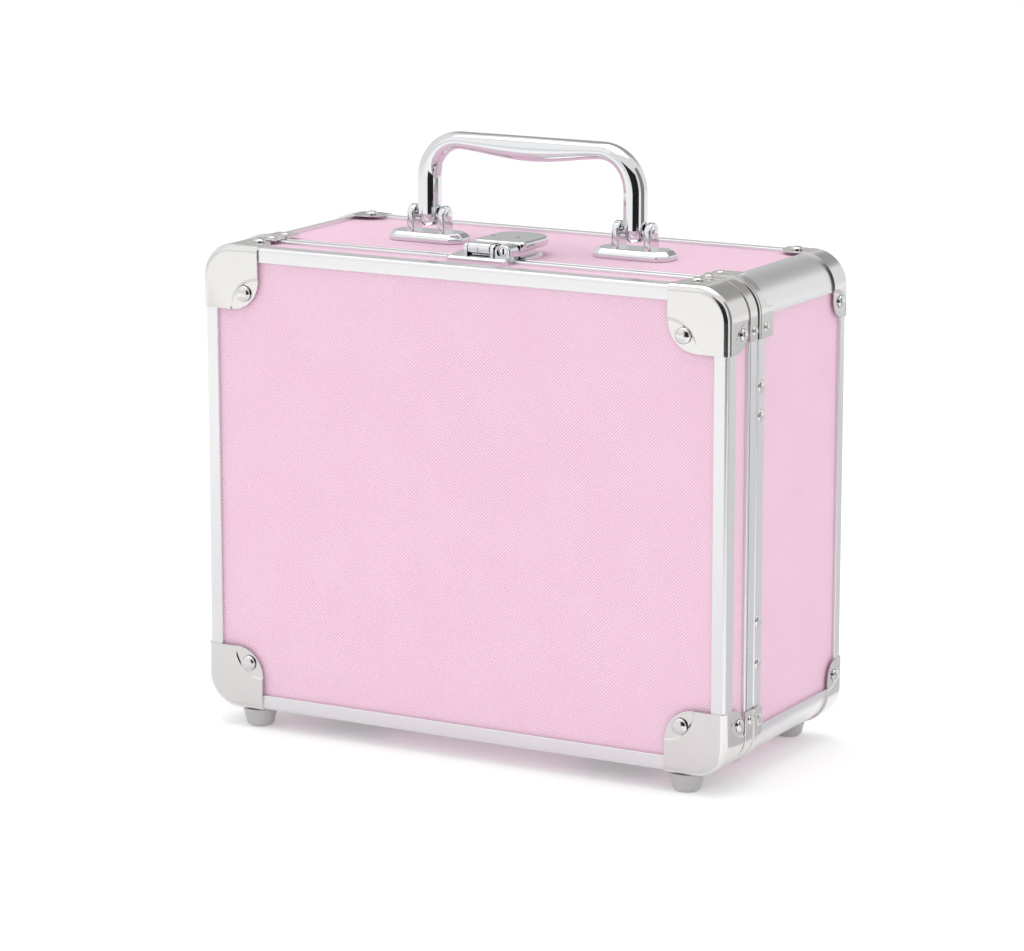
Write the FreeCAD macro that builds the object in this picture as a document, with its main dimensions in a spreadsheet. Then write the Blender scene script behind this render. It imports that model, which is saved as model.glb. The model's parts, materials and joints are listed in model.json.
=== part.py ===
# Makeup train case: an aluminium-framed hard case that stands on its hinge side with the handle on top.
# Frame: millimetres, +X to the right as seen from the lid, +Y from the lid to the back, +Z up.
# Origin: under the middle of the case, on the floor that the feet stand on.
import FreeCAD, Part
import os
import Sketcher

V = FreeCAD.Vector
doc = FreeCAD.newDocument("TrainCase")

# ---------------------------------------------------------------- driving dimensions
SIZES = {
    "width": 230.0,         # case across, over the frame bars
    "depth": 103.3,         # lid face to back face, over the frame bars
    "tall": 186.5,          # case height without feet, handle or caps
    "foot_tall": 8.3,       # floor to the underside of the case
    "seam_at": 24.9,        # lid face to the middle of the seam
    "seam_gap": 0.3,        # gap between the two mouths when shut
    "corner": 13.0,         # radius of the case's four long edges
    "alu": 1.35,            # aluminium thickness, and how far panels sit below it
    "panel": 3.0,           # covered board thickness
    "foam": 2.0,            # lining thickness
    "foam_corner": 6.0,     # outer corner radius of the lining
    "foam_back": 1.0,       # how far the lining's edge stands back from the mouth
    "band": 6.0,            # frame bar width on the lid and back faces
    "lid_leg": 7.0,         # lid frame bar width round the sides
    "base_leg": 5.3,        # back frame bar width round the sides
    "side_mouth_lid": 7.6,  # mouth bar widths seen from the side
    "side_mouth_base": 6.1,
    "top_mouth_lid": 4.2,   # mouth bar widths seen from above
    "top_mouth_base": 1.8,
    "lip": 5.0,             # how far a mouth bar turns inwards
    "steel": 0.8,           # corner cap and clip sheet
    "cap_leg": 25.0,        # corner cap reach along each edge
    "cap_inner": 12.0,      # radius of the cap's inner corner
    "front_flange": 15.3,   # cap depth round the sides
    "rear_flange": 12.3,
    "clip_leg": 22.3,       # seam clip reach along each edge
    "clip_lid": 8.0,        # seam clip widths
    "clip_base": 6.0,
    "tab_wide": 11.4,       # tab on an upper base clip
    "tab_long": 5.2,
    "rivet_in": 18.5,       # rivet distance from the case's edges
    "shank": 1.3,           # rivet shank radius
    "rivet_rim": 0.4,       # straight edge of a rivet's head
    "rivet_flat": 0.45,     # flat on top of a rivet's head, as a share of its radius
    "face_head": 3.2,       # rivet head radii and heights
    "face_rise": 1.6,
    "flange_head": 2.5,
    "flange_rise": 1.2,
    "clip_head": 1.9,
    "clip_rise": 1.0,
    "mouth_head": 2.6,
    "mouth_rise": 1.0,
    "lid_flange_at": 11.5,  # lid face to the rivets in the front caps' flanges
    "rear_flange_at": 6.3,  # back face to the rivets in the rear caps' flanges
    "lid_clip_at": 20.6,    # lid face to the rivets in the lid's clips
    "base_clip_at": 30.6,   # and in the tabs of the base's upper clips
    "mouth_at": 28.1,       # and in the base's side mouth bars and lower clips
    "upper_first": 40.6,    # mouth rivets from the top of the case
    "upper_second": 51.9,
    "lower_first": 38.9,    # and from its underside
    "lower_second": 55.4,
    "low_clip_in": 17.1,    # lower base clip rivets from the underside
    "foot_in": 19.0,        # foot centre to the case's side
    "foot_front": 7.2,      # foot centre to the nearer face
    "foot_top": 7.0,        # foot radii
    "foot_bottom": 5.2,
    "screw": 1.5,           # foot screw and bracket stud radius
    "screw_head": 2.8,
    "head_tall": 1.6,
    "head_up": 2.4,         # how far a foot screw's head sits above the floor
    "grip_span": 91.8,      # between the two handle legs
    "handle_y": 57.9,       # lid face to the plane of the handle
    "tube": 4.9,            # handle tube radius
    "grip_bend": 14.5,      # centre line bend radius
    "grip_top": 43.0,       # top of the grip above the case
    "leg_end": 5.0,         # handle leg ends above the case
    "tip_in": 2.1,          # taper at a leg's end
    "tip_long": 4.7,
    "pivot_up": 6.5,        # handle pivot above the bracket plate
    "plate_up": 3.9,        # bracket plate thickness
    "plate_long": 33.6,
    "plate_wide": 15.0,
    "plate_corner": 4.0,    # cut off each corner of the plate
    "plate_screw": 12.9,    # bracket studs from the bracket's middle
    "stud_cover": 1.2,      # bracket plate left above a stud
    "ear": 3.2,             # bracket ear thickness
    "ear_gap": 10.8,        # between a pair of ears
    "ear_wide": 8.0,
    "ear_tall": 10.4,
    "pin": 1.5,             # handle pin radius
    "pin_head": 2.4,
    "pin_head_long": 0.8,
    "fit": 0.05,            # radial clearance of a turning fit
    "hinge_at": 60.0,       # hinge centres from the middle
    "knuckle": 1.8,         # hinge knuckle radius
    "knuckle_long": 10.0,
    "hinge_pin": 0.8,
    "leaf": 1.0,
    "leaf_wide": 14.0,
    "hinge_drop": 0.2,      # knuckles below the case's underside
    "hinge_gap": 0.2,       # between neighbouring knuckles
    "leaf_gap": 0.3,        # between a knuckle and a leaf's edge
    "web_lap": 0.1,         # overlap of a web and its leaf
    "latch_wide": 31.0,     # catch plate across
    "latch_left": 14.0,     # lid plate, left and right of the middle
    "latch_right": 13.0,
    "latch_front": 14.0,    # lid face to the near edge of the latch
    "latch_back": 42.0,     # lid face to the far edge of the latch
    "latch_sheet": 1.2,
    "lever_y": 22.0,        # lid face to the lever's pivot
    "lever_up": 3.6,        # lever pivot above the case
    "lever_pin": 0.8,
    "roll": 2.2,            # radius of the lever's knuckle
    "roll_left": 7.0,       # the knuckle, left and right of the middle
    "roll_right": 2.6,
    "roll_ear": 1.6,        # thickness of the ears beside it
    "roll_gap": 0.2,        # gap to each ear
    "ear_reach": 1.8,       # ears round the lever's pin
    "neck_sheet": 1.4,      # neck between the knuckle and the pad
    "pad_start": 26.0,      # lever pad, from the lid face
    "pad_end": 52.5,
    "pad_left": 8.5,        # lever pad, left and right of the middle
    "pad_right": 14.5,
    "pad_low": 2.8,         # lever pad underside above the case
    "pad_up": 6.4,          # lever pad top above the case
    "pad_round": 9.0,       # far corners of the pad
    "stud": 4.0,            # catch stud, half its width and length
    "stud_y": 36.0,         # lid face to the middle of the stud
    "stud_fit": 0.4,        # gap between the stud and its socket
    "stud_in": 0.8,         # how far the stud enters the socket
    "socket": 1.2,          # socket depth
    "barrel": 1.75,         # lock cylinder radius
    "barrel_x": 9.4,        # lock centre from the middle
    "barrel_long": 6.0,
    "barrel_up": 2.4,       # lock centre above the lid plate
    "lock_front": 18.0,     # lid face to the front of the lock's housing
    "lock_half": 3.5,       # half the width of the housing
    "lock_tall": 4.8,
    "key_wide": 0.7,        # keyway
    "key_tall": 2.2,
    "key_deep": 4.0,
}

sheet = doc.addObject("Spreadsheet::Sheet", "dims")
for row, (word, value) in enumerate(SIZES.items(), start=1):
    sheet.set(f"A{row}", word)
    sheet.set(f"B{row}", str(value))
    sheet.setAlias(f"B{row}", word)
doc.recompute()


def bound(text):
    """Expression text in which every bare size word reads its cell."""
    out = []
    word = ""
    for letter in text + " ":
        if letter.isalpha() or letter == "_":
            word += letter
            continue
        if word:
            out.append(f"dims.{word}" if word in SIZES else word)
            word = ""
        out.append(letter)
    return "".join(out).strip()


def front(text):
    """A distance behind the lid face, as a Y coordinate."""
    return f"({text}) - depth / 2"


def up(text):
    """A height above the underside of the case, as a Z coordinate."""
    return f"foot_tall + ({text})"


nodes = []


def node(obj, name):
    """Name a finished sub-part; its label names its file."""
    obj.Label = name
    nodes.append(obj)
    return obj


def place(obj, x, y, z):
    for axis, text in zip("xyz", (x, y, z)):
        obj.setExpression(f"Placement.Base.{axis}", bound(text))


def box(name, low, high):
    """A block between two corners, all six faces bound to the sheet."""
    obj = doc.addObject("Part::Box", name)
    for prop, a, b in zip(("Length", "Width", "Height"), low, high):
        obj.setExpression(prop, bound(f"({b}) - ({a})"))
    place(obj, *low)
    return obj


TURNS = {
    "+x": FreeCAD.Rotation(V(0, 0, 1), V(1, 0, 0)),
    "-x": FreeCAD.Rotation(V(0, 0, 1), V(-1, 0, 0)),
    "+y": FreeCAD.Rotation(V(0, 0, 1), V(0, 1, 0)),
    "-y": FreeCAD.Rotation(V(0, 0, 1), V(0, -1, 0)),
    "+z": FreeCAD.Rotation(),
    "-z": FreeCAD.Rotation(V(1, 0, 0), 180),
}


def rod(name, radius, length, way, x, y, z):
    """A cylinder that starts at a point and runs one way."""
    obj = doc.addObject("Part::Cylinder", name)
    obj.Placement = FreeCAD.Placement(V(), TURNS[way])
    obj.setExpression("Radius", bound(radius))
    obj.setExpression("Height", bound(length))
    place(obj, x, y, z)
    return obj


def fused(name, parts):
    obj = doc.addObject("Part::MultiFuse", name)
    obj.Shapes = parts
    return obj


def cut(name, base, tool):
    obj = doc.addObject("Part::Cut", name)
    obj.Base = base
    obj.Tool = tool
    return obj


def grouped(name, parts):
    obj = doc.addObject("Part::Compound", name)
    obj.Links = parts
    return obj


# Sketch planes: which pair of axes a sketch shows, and the sign of its normal along the third.
PLANES = {"XY_Plane": ("z", 1), "YZ_Plane": ("x", 1), "XZ_Plane": ("y", -1)}


def outline(body, plane, offset, points):
    """A closed sketch of straight lines whose corners are bound to the sheet."""
    sketch = body.newObject("Sketcher::SketchObject", "Outline")
    datum = [f for f in body.Origin.OriginFeatures if f.Role == plane][0]
    sketch.AttachmentSupport = [(datum, "")]
    sketch.MapMode = "FlatFace"
    sign = "" if PLANES[plane][1] > 0 else "-"
    sketch.setExpression("AttachmentOffset.Base.z", bound(f"{sign}({offset})"))
    values = [[value_of(u), value_of(v)] for u, v in points]
    for i, start in enumerate(values):
        end = values[(i + 1) % len(values)]
        sketch.addGeometry(Part.LineSegment(V(*start, 0), V(*end, 0)))
    for i, (u, v) in enumerate(points):
        after = (i + 1) % len(points)
        sketch.addConstraint(Sketcher.Constraint("Coincident", i, 2, after, 1))
        for kind, text, value in (("DistanceX", u, values[i][0]), ("DistanceY", v, values[i][1])):
            at = sketch.addConstraint(Sketcher.Constraint(kind, -1, 1, i, 1, value))
            sketch.setExpression(f"Constraints[{at}]", bound(text))
    return sketch


def value_of(text):
    """The number that the sheet gives for an expression, for a sketch's first guess."""
    found = sheet.evalExpression(bound(text))
    return float(getattr(found, "Value", found))


def padded(name, plane, start, end, points):
    """A body: one outline pushed from start to end along its plane's axis."""
    body = doc.addObject("PartDesign::Body", name)
    low = start if PLANES[plane][1] > 0 else end
    sketch = outline(body, plane, low, points)
    pad = body.newObject("PartDesign::Pad", "Pad")
    pad.Profile = sketch
    pad.setExpression("Length", bound(f"({end}) - ({start})"))
    sketch.Visibility = False
    doc.recompute()
    return body


def rounded(body, radius, chosen):
    """Fillet the straight edges of a body that pass a test on their middle point and direction."""
    base = body.Tip
    names = []
    for i, edge in enumerate(base.Shape.Edges, start=1):
        if edge.Curve.TypeId != "Part::GeomLine":
            continue
        middle = edge.valueAt((edge.FirstParameter + edge.LastParameter) / 2)
        if chosen(middle, edge.tangentAt(edge.FirstParameter)):
            names.append(f"Edge{i}")
    fillet = body.newObject("PartDesign::Fillet", "Fillet")
    fillet.Base = (base, names)
    fillet.setExpression("Radius", bound(radius))
    doc.recompute()
    return body


def el(u0, v0, su, sv, leg_u, leg_v, thick):
    """The six corners of an L: outer corner, signs of its two legs, their reach and thickness."""
    def move(base, sign, far):
        return f"({base}) {'+' if sign > 0 else '-'} ({far})"

    return [
        (u0, v0),
        (move(u0, su, leg_u), v0),
        (move(u0, su, leg_u), move(v0, sv, thick)),
        (move(u0, su, thick), move(v0, sv, thick)),
        (move(u0, su, thick), move(v0, sv, leg_v)),
        (u0, move(v0, sv, leg_v)),
    ]


SIDES = {"left": -1, "right": 1}
LEVELS = {"bottom": -1, "top": 1}


def side_x(sign, inward="0"):
    """An X on a side of the case, some way in from its outer face."""
    return f"{sign} * (width / 2 - ({inward}))"


def level_z(sign, inward="0"):
    """A Z on the top or underside of the case, some way in from its outer face."""
    return up(f"tall - ({inward})") if sign > 0 else up(inward)


def corner_shell(name, sx, sz, leg, thick, outside, radius, start, end):
    """A sheet bent round one long edge of the case, between two depths."""
    points = el(side_x(sx, f"-({outside})"), level_z(sz, f"-({outside})"), -sx, -sz,
                leg, leg, thick)
    body = padded(name, "XZ_Plane", start, end, points)
    outer = V(value_of(points[0][0]), 0, value_of(points[0][1]))
    inner = V(value_of(points[3][0]), 0, value_of(points[3][1]))

    def along_y_at(target):
        return lambda p, way: abs(way.y) > 0.9 and V(p.x, 0, p.z).distanceToPoint(target) < 1e-4

    rounded(body, radius, along_y_at(outer))
    rounded(body, f"({radius}) - ({thick})", along_y_at(inner))
    return body


def quarter_round(name, sx, sz, start, end):
    """The aluminium quarter-round along one long edge: a quarter of a tube."""
    along = -sx * sz
    turn = FreeCAD.Rotation(V(sx, 0, 0), V(0, 0, sz), V(0, along, 0), "XYZ")
    solids = []
    for part, radius in (("outer", "corner"), ("inner", "corner - alu")):
        pie = doc.addObject("Part::Cylinder", f"{name}_{part}")
        pie.Angle = 90
        pie.Placement = FreeCAD.Placement(V(), turn)
        pie.setExpression("Radius", bound(radius))
        pie.setExpression("Height", bound(f"({end}) - ({start})"))
        place(pie, side_x(sx, "corner"), start if along > 0 else end, level_z(sz, "corner"))
        solids.append(pie)
    return cut(name, *solids)


# ---------------------------------------------------------------- rivets
def dome_rivet(name, head, rise, shank):
    """A domed rivet along +Z: head above the origin, shank below it."""
    stem = rod(f"{name}_stem", "shank", shank, "-z", "0", "0", "0")
    rim = rod(f"{name}_rim", head, "rivet_rim", "+z", "0", "0", "0")
    top = doc.addObject("Part::Cone", f"{name}_top")
    top.setExpression("Radius1", bound(head))
    top.setExpression("Radius2", bound(f"{head} * rivet_flat"))
    top.setExpression("Height", bound(f"{rise} - rivet_rim"))
    place(top, "0", "0", "rivet_rim")
    return fused(name, [stem, rim, top])


RIVETS = {kind: dome_rivet(f"{kind}_rivet", f"{kind}_head", f"{kind}_rise", depth)
          for kind, depth in (("face", "steel + alu + panel"), ("flange", "steel + alu + panel"),
                              ("clip", "steel + alu + panel"), ("mouth", "alu + panel"))}


def rivet(kind, name, way, x, y, z):
    link = doc.addObject("App::Link", name)
    link.LinkedObject = RIVETS[kind]
    link.Placement = FreeCAD.Placement(V(), TURNS[way])
    place(link, x, y, z)
    return link


def rivet_places(shell):
    """Every rivet of one shell: kind, direction its head faces, and place."""
    lid = shell == "lid"
    face_way = "-y" if lid else "+y"
    face_y = front("-steel") if lid else front("depth + steel")
    flange_y = front("lid_flange_at") if lid else front("depth - rear_flange_at")
    clip_y = front(f"{shell}_clip_at")
    mouth_y = front("mouth_at")
    for sx in SIDES.values():
        side = "+x" if sx > 0 else "-x"
        for sz in LEVELS.values():
            x_in, z_in = side_x(sx, "rivet_in"), level_z(sz, "rivet_in")
            yield "face", face_way, x_in, face_y, z_in
            yield "flange", side, side_x(sx, "-steel"), flange_y, z_in
            if lid or sz > 0:
                yield "clip", side, side_x(sx, "-steel"), clip_y, z_in
            else:
                yield "mouth", side, side_x(sx, "-steel"), mouth_y, level_z(sz, "low_clip_in")
            if sz > 0:
                yield "flange", "+z", x_in, flange_y, level_z(sz, "-steel")
                yield "clip", "+z", x_in, clip_y, level_z(sz, "-steel")
            if not lid:
                end = "upper" if sz > 0 else "lower"
                for down in (f"{end}_first", f"{end}_second"):
                    yield "mouth", side, side_x(sx), mouth_y, level_z(sz, down)


OPPOSITE = {"+x": "-x", "-x": "+x", "+y": "-y", "-y": "+y", "+z": "-z", "-z": "+z"}


def screw_places(shell):
    """The two foot screws of one shell."""
    y = front("foot_front") if shell == "lid" else front("depth - foot_front")
    for side, sx in SIDES.items():
        yield side, side_x(sx, "foot_in"), y


# ---------------------------------------------------------------- the two shells
def build_shell(shell):
    lid = shell == "lid"
    step = 1 if lid else -1
    mouth = "seam_at - seam_gap / 2" if lid else "seam_at + seam_gap / 2"
    face = "0" if lid else "depth"
    leg = f"{shell}_leg"
    near, far = (face, mouth) if lid else (mouth, face)
    plan = []

    def behind(distance):
        """A Y this far in from the shell's own face."""
        return front(f"{distance}") if lid else front(f"depth - ({distance})")

    # Face panel, rounded like the frame.
    low_y, high_y = (behind("alu"), behind("alu + panel")) if lid else (behind("alu + panel"), behind("alu"))
    corners = [(side_x(sx, "alu"), level_z(sz, "alu"))
               for sx, sz in ((-1, -1), (1, -1), (1, 1), (-1, 1))]
    panel = padded(f"{shell}_face", "XZ_Plane", low_y, high_y, corners)
    rounded(panel, "corner - alu", lambda p, way: abs(way.y) > 0.9)
    plan.append((panel, "front_panel" if lid else "back_panel"))

    # Walls between the long edges.
    wall_a = behind("alu + panel")
    wall_b = front(f"({mouth}) - {step} * alu")
    wall_low, wall_high = (wall_a, wall_b) if lid else (wall_b, wall_a)
    for level, sz in LEVELS.items():
        z = sorted((level_z(sz, "alu"), level_z(sz, "alu + panel")), key=value_of)
        plan.append((box(f"{shell}_{level}_board", ("corner - width / 2", wall_low, z[0]),
                         ("width / 2 - corner", wall_high, z[1])), f"{shell}_{level}_wall"))
    for side, sx in SIDES.items():
        x = sorted((side_x(sx, "alu"), side_x(sx, "alu + panel")), key=value_of)
        plan.append((box(f"{shell}_{side}_board", (x[0], wall_low, up("corner")),
                         (x[1], wall_high, up("tall - corner"))), f"{shell}_{side}_wall"))

    # Frame bars round the face, and mouth bars round the opening.
    run_x = ("corner - width / 2", "width / 2 - corner")
    run_z = (up("corner"), up("tall - corner"))
    for level, sz in LEVELS.items():
        points = el(front(face), level_z(sz), step, -sz, leg, "band", "alu")
        plan.append((padded(f"{shell}_{level}_bar", "YZ_Plane", *run_x, points), f"{shell}_{level}_frame"))
        points = el(front(mouth), level_z(sz), -step, -sz, f"top_mouth_{shell}", "lip", "alu")
        plan.append((padded(f"{shell}_{level}_lip", "YZ_Plane", *run_x, points), f"{shell}_{level}_mouth"))
    for side, sx in SIDES.items():
        points = el(side_x(sx), front(face), -sx, step, "band", leg, "alu")
        plan.append((padded(f"{shell}_{side}_bar", "XY_Plane", *run_z, points), f"{shell}_{side}_frame"))
        points = el(side_x(sx), front(mouth), -sx, -step, "lip", f"side_mouth_{shell}", "alu")
        plan.append((padded(f"{shell}_{side}_lip", "XY_Plane", *run_z, points), f"{shell}_{side}_mouth"))

    # Quarter-round edge bars, corner caps and seam clips, one of each for every corner.
    rounds, clips = [], []
    for side, sx in SIDES.items():
        for level, sz in LEVELS.items():
            where = f"{level}_{side}"
            rounds.append(quarter_round(f"{shell}_{where}_round", sx, sz, front(near), front(far)))
            flange = "front_flange" if lid else "rear_flange"
            skirt_y = (behind("-steel"), behind(flange)) if lid else (behind(flange), behind("-steel"))
            skirt = corner_shell(f"{shell}_{where}_skirt", sx, sz, "cap_leg + steel", "steel", "steel",
                                 "corner + steel", *skirt_y)
            plan.append((fused(f"{shell}_{where}_cap_body", [skirt, cap_face(shell, where, sx, sz, behind)]),
                         f"{shell}_{where}_cap" if lid else f"rear_{where}_cap"))
            clip_y = ((front(f"({mouth}) - clip_lid"), front(mouth)) if lid
                      else (front(mouth), front(f"({mouth}) + clip_base")))
            band = corner_shell(f"{shell}_{where}_band", sx, sz, "clip_leg + steel", "steel", "steel",
                                "corner + steel", *clip_y)
            clips.append(band if lid or sz < 0 else fused(f"{shell}_{where}_clip", [band] + tabs(where, sx, sz)))
    plan.append((grouped(f"{shell}_rounds", rounds), f"{shell}_edge_rounds"))
    plan.append((grouped(f"{shell}_clips", clips), f"{shell}_seam_clips"))

    # Lining: a foam tray inside the walls.
    inner = "alu + panel"
    tray_low, tray_high = ((behind(inner), wall_b) if lid else (wall_b, behind(inner)))
    tray_corners = [(side_x(sx, inner), level_z(sz, inner))
                    for sx, sz in ((-1, -1), (1, -1), (1, 1), (-1, 1))]
    tray = padded(f"{shell}_tray", "XZ_Plane", tray_low, tray_high, tray_corners)
    rounded(tray, "foam_corner", lambda p, way: abs(way.y) > 0.9)
    hollow_corners = [(side_x(sx, f"{inner} + foam"), level_z(sz, f"{inner} + foam"))
                      for sx, sz in ((-1, -1), (1, -1), (1, 1), (-1, 1))]
    open_end = front(f"({mouth}) + {step} * foam_back")
    hollow_y = ((behind(f"{inner} + foam"), open_end) if lid else (open_end, behind(f"{inner} + foam")))
    hollow = padded(f"{shell}_hollow", "XZ_Plane", *hollow_y, hollow_corners)
    rounded(hollow, "foam_corner - foam", lambda p, way: abs(way.y) > 0.9)
    return plan, (cut(f"{shell}_foam", tray, hollow), f"{shell}_lining")


def cap_face(shell, where, sx, sz, behind):
    """The part of a corner cap that lies on the lid or back face."""
    lid = shell == "lid"
    reach = "cap_leg"
    points = [
        (side_x(sx, "-steel"), level_z(sz, "-steel")),
        (side_x(sx, reach), level_z(sz, "-steel")),
        (side_x(sx, reach), level_z(sz, reach)),
        (side_x(sx, "-steel"), level_z(sz, reach)),
    ]
    ends = (behind("-steel"), behind("0")) if lid else (behind("0"), behind("-steel"))
    body = padded(f"{shell}_{where}_plate", "XZ_Plane", *ends, points)

    def corner_edge(index):
        target = V(value_of(points[index][0]), 0, value_of(points[index][1]))
        return lambda p, way: abs(way.y) > 0.9 and V(p.x, 0, p.z).distanceToPoint(target) < 1e-4

    rounded(body, "corner + steel", corner_edge(0))
    return rounded(body, "cap_inner", corner_edge(2))


def tabs(where, sx, sz):
    """The two riveted tabs of an upper base seam clip, one on the side and one on the top."""
    start = "seam_at + seam_gap / 2 + clip_base"
    z = sorted((level_z(sz, "clip_leg"), level_z(sz, "clip_leg - tab_wide")), key=value_of)
    x = sorted((side_x(sx, "-steel"), side_x(sx)), key=value_of)
    ears = [box(f"base_{where}_side_tab", (x[0], front(start), z[0]),
                (x[1], front(f"{start} + tab_long"), z[1]))]
    x = sorted((side_x(sx, "clip_leg"), side_x(sx, "clip_leg - tab_wide")), key=value_of)
    z = sorted((level_z(sz), level_z(sz, "-steel")), key=value_of)
    ears.append(box(f"base_{where}_level_tab", (x[0], front(start), z[0]),
                    (x[1], front(f"{start} + tab_long"), z[1])))
    return ears


def drilled(shell, plan):
    """Pass every rivet and foot screw of a shell through the pieces that it holds."""
    holes = []
    for i, (kind, way, x, y, z) in enumerate(rivet_places(shell)):
        shank = "alu + panel" if kind == "mouth" else "steel + alu + panel"
        holes.append(rod(f"{shell}_hole_{i}", "shank", shank, OPPOSITE[way], x, y, z))
    for side, x, y in screw_places(shell):
        holes.append(rod(f"{shell}_{side}_screw_hole", "screw", "foot_tall + alu + panel", "+z", x, y, "0"))
    if shell == "base":
        for side, sx in SIDES.items():
            for hand in (-1, 1):
                x = f"{sx} * grip_span / 2 + {hand} * plate_screw"
                holes.append(rod(f"{side}_bracket_hole_{hand + 1}", "screw", "panel + alu", "+z",
                                 x, front("handle_y"), up("tall - alu - panel")))
    tool = grouped(f"{shell}_holes", holes)
    for obj, name in plan:
        if name.endswith("_rounds"):
            node(obj, name)
        else:
            node(cut(f"{name}_drilled", obj, tool), name)


for shell in ("lid", "base"):
    plan, lining = build_shell(shell)
    drilled(shell, plan)
    node(*lining)
    rivets = [rivet(kind, f"{shell}_rivet_{i}", way, x, y, z)
              for i, (kind, way, x, y, z) in enumerate(rivet_places(shell))]
    node(grouped(f"{shell}_rivet_group", rivets), f"{shell}_rivets")

# ---------------------------------------------------------------- feet and their screws
for shell in ("lid", "base"):
    feet, screws = [], []
    for side, x, y in screw_places(shell):
        name = f"{shell}_{side}_foot"
        cone = doc.addObject("Part::Cone", f"{name}_cone")
        cone.setExpression("Radius1", bound("foot_bottom"))
        cone.setExpression("Radius2", bound("foot_top"))
        cone.setExpression("Height", bound("foot_tall - steel"))
        place(cone, x, y, "0")
        bore = fused(f"{name}_bore", [
            rod(f"{name}_shaft", "screw", "foot_tall", "+z", x, y, "0"),
            rod(f"{name}_sink", "screw_head", "head_up + head_tall", "+z", x, y, "0"),
        ])
        feet.append(cut(name, cone, bore))
        screws.append(fused(f"{name}_screw", [
            rod(f"{name}_head", "screw_head", "head_tall", "+z", x, y, "head_up"),
            rod(f"{name}_stem", "screw", "foot_tall + alu + panel - head_up", "+z", x, y, "head_up"),
        ]))
    node(grouped(f"{shell}_foot_pair", feet), f"{shell}_feet")
    node(grouped(f"{shell}_screw_pair", screws), f"{shell}_foot_screws")

# ---------------------------------------------------------------- hinges under the seam
AXIS_Z = "foot_tall - knuckle - hinge_drop"
base_leaves, lid_leaves, hinge_pins = [], [], []
for side, sx in SIDES.items():
    middle = f"{sx} * hinge_at"
    start = f"{middle} - knuckle_long * 1.5"
    end = f"{middle} + knuckle_long * 1.5"
    leaf_low = "foot_tall - leaf"
    web_top = "foot_tall - leaf_gap"
    bore = rod(f"{side}_hinge_bore", "hinge_pin + fit", "knuckle_long * 3", "+x",
               start, front("seam_at"), AXIS_Z)
    knuckles = [rod(f"{side}_knuckle_{i}", "knuckle", "knuckle_long - hinge_gap", "+x",
                    f"{start} + {i} * knuckle_long + hinge_gap / 2", front("seam_at"), AXIS_Z)
                for i in range(3)]
    plate = box(f"{side}_base_leaf", (start, front("seam_at + knuckle + leaf_gap"), leaf_low),
                (end, front("seam_at + leaf_wide"), "foot_tall"))
    webs = [box(f"{side}_base_web_{i}",
                (f"{start} + {i} * knuckle_long + hinge_gap / 2", front("seam_at"), AXIS_Z),
                (f"{start} + {i + 1} * knuckle_long - hinge_gap / 2",
                 front("seam_at + knuckle + leaf_gap + web_lap"), web_top))
            for i in (0, 2)]
    leaf = fused(f"{side}_base_leaf_body", [plate, knuckles[0], knuckles[2]] + webs)
    base_leaves.append(cut(f"{side}_base_hinge_leaf", leaf, bore))
    plate = box(f"{side}_lid_leaf", (start, front("seam_at - leaf_wide"), leaf_low),
                (end, front("seam_at - knuckle - leaf_gap"), "foot_tall"))
    web = box(f"{side}_lid_web",
              (f"{start} + knuckle_long + hinge_gap / 2",
               front("seam_at - knuckle - leaf_gap - web_lap"), AXIS_Z),
              (f"{start} + 2 * knuckle_long - hinge_gap / 2", front("seam_at"), web_top))
    leaf = fused(f"{side}_lid_leaf_body", [plate, knuckles[1], web])
    lid_leaves.append(cut(f"{side}_lid_hinge_leaf", leaf, bore))
    hinge_pins.append(rod(f"{side}_hinge_pin", "hinge_pin", "knuckle_long * 3", "+x",
                          start, front("seam_at"), AXIS_Z))
node(grouped("base_leaf_pair", base_leaves), "hinge_base_leaves")
node(grouped("lid_leaf_pair", lid_leaves), "hinge_lid_leaves")
node(grouped("hinge_pin_pair", hinge_pins), "hinge_pins")

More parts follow.
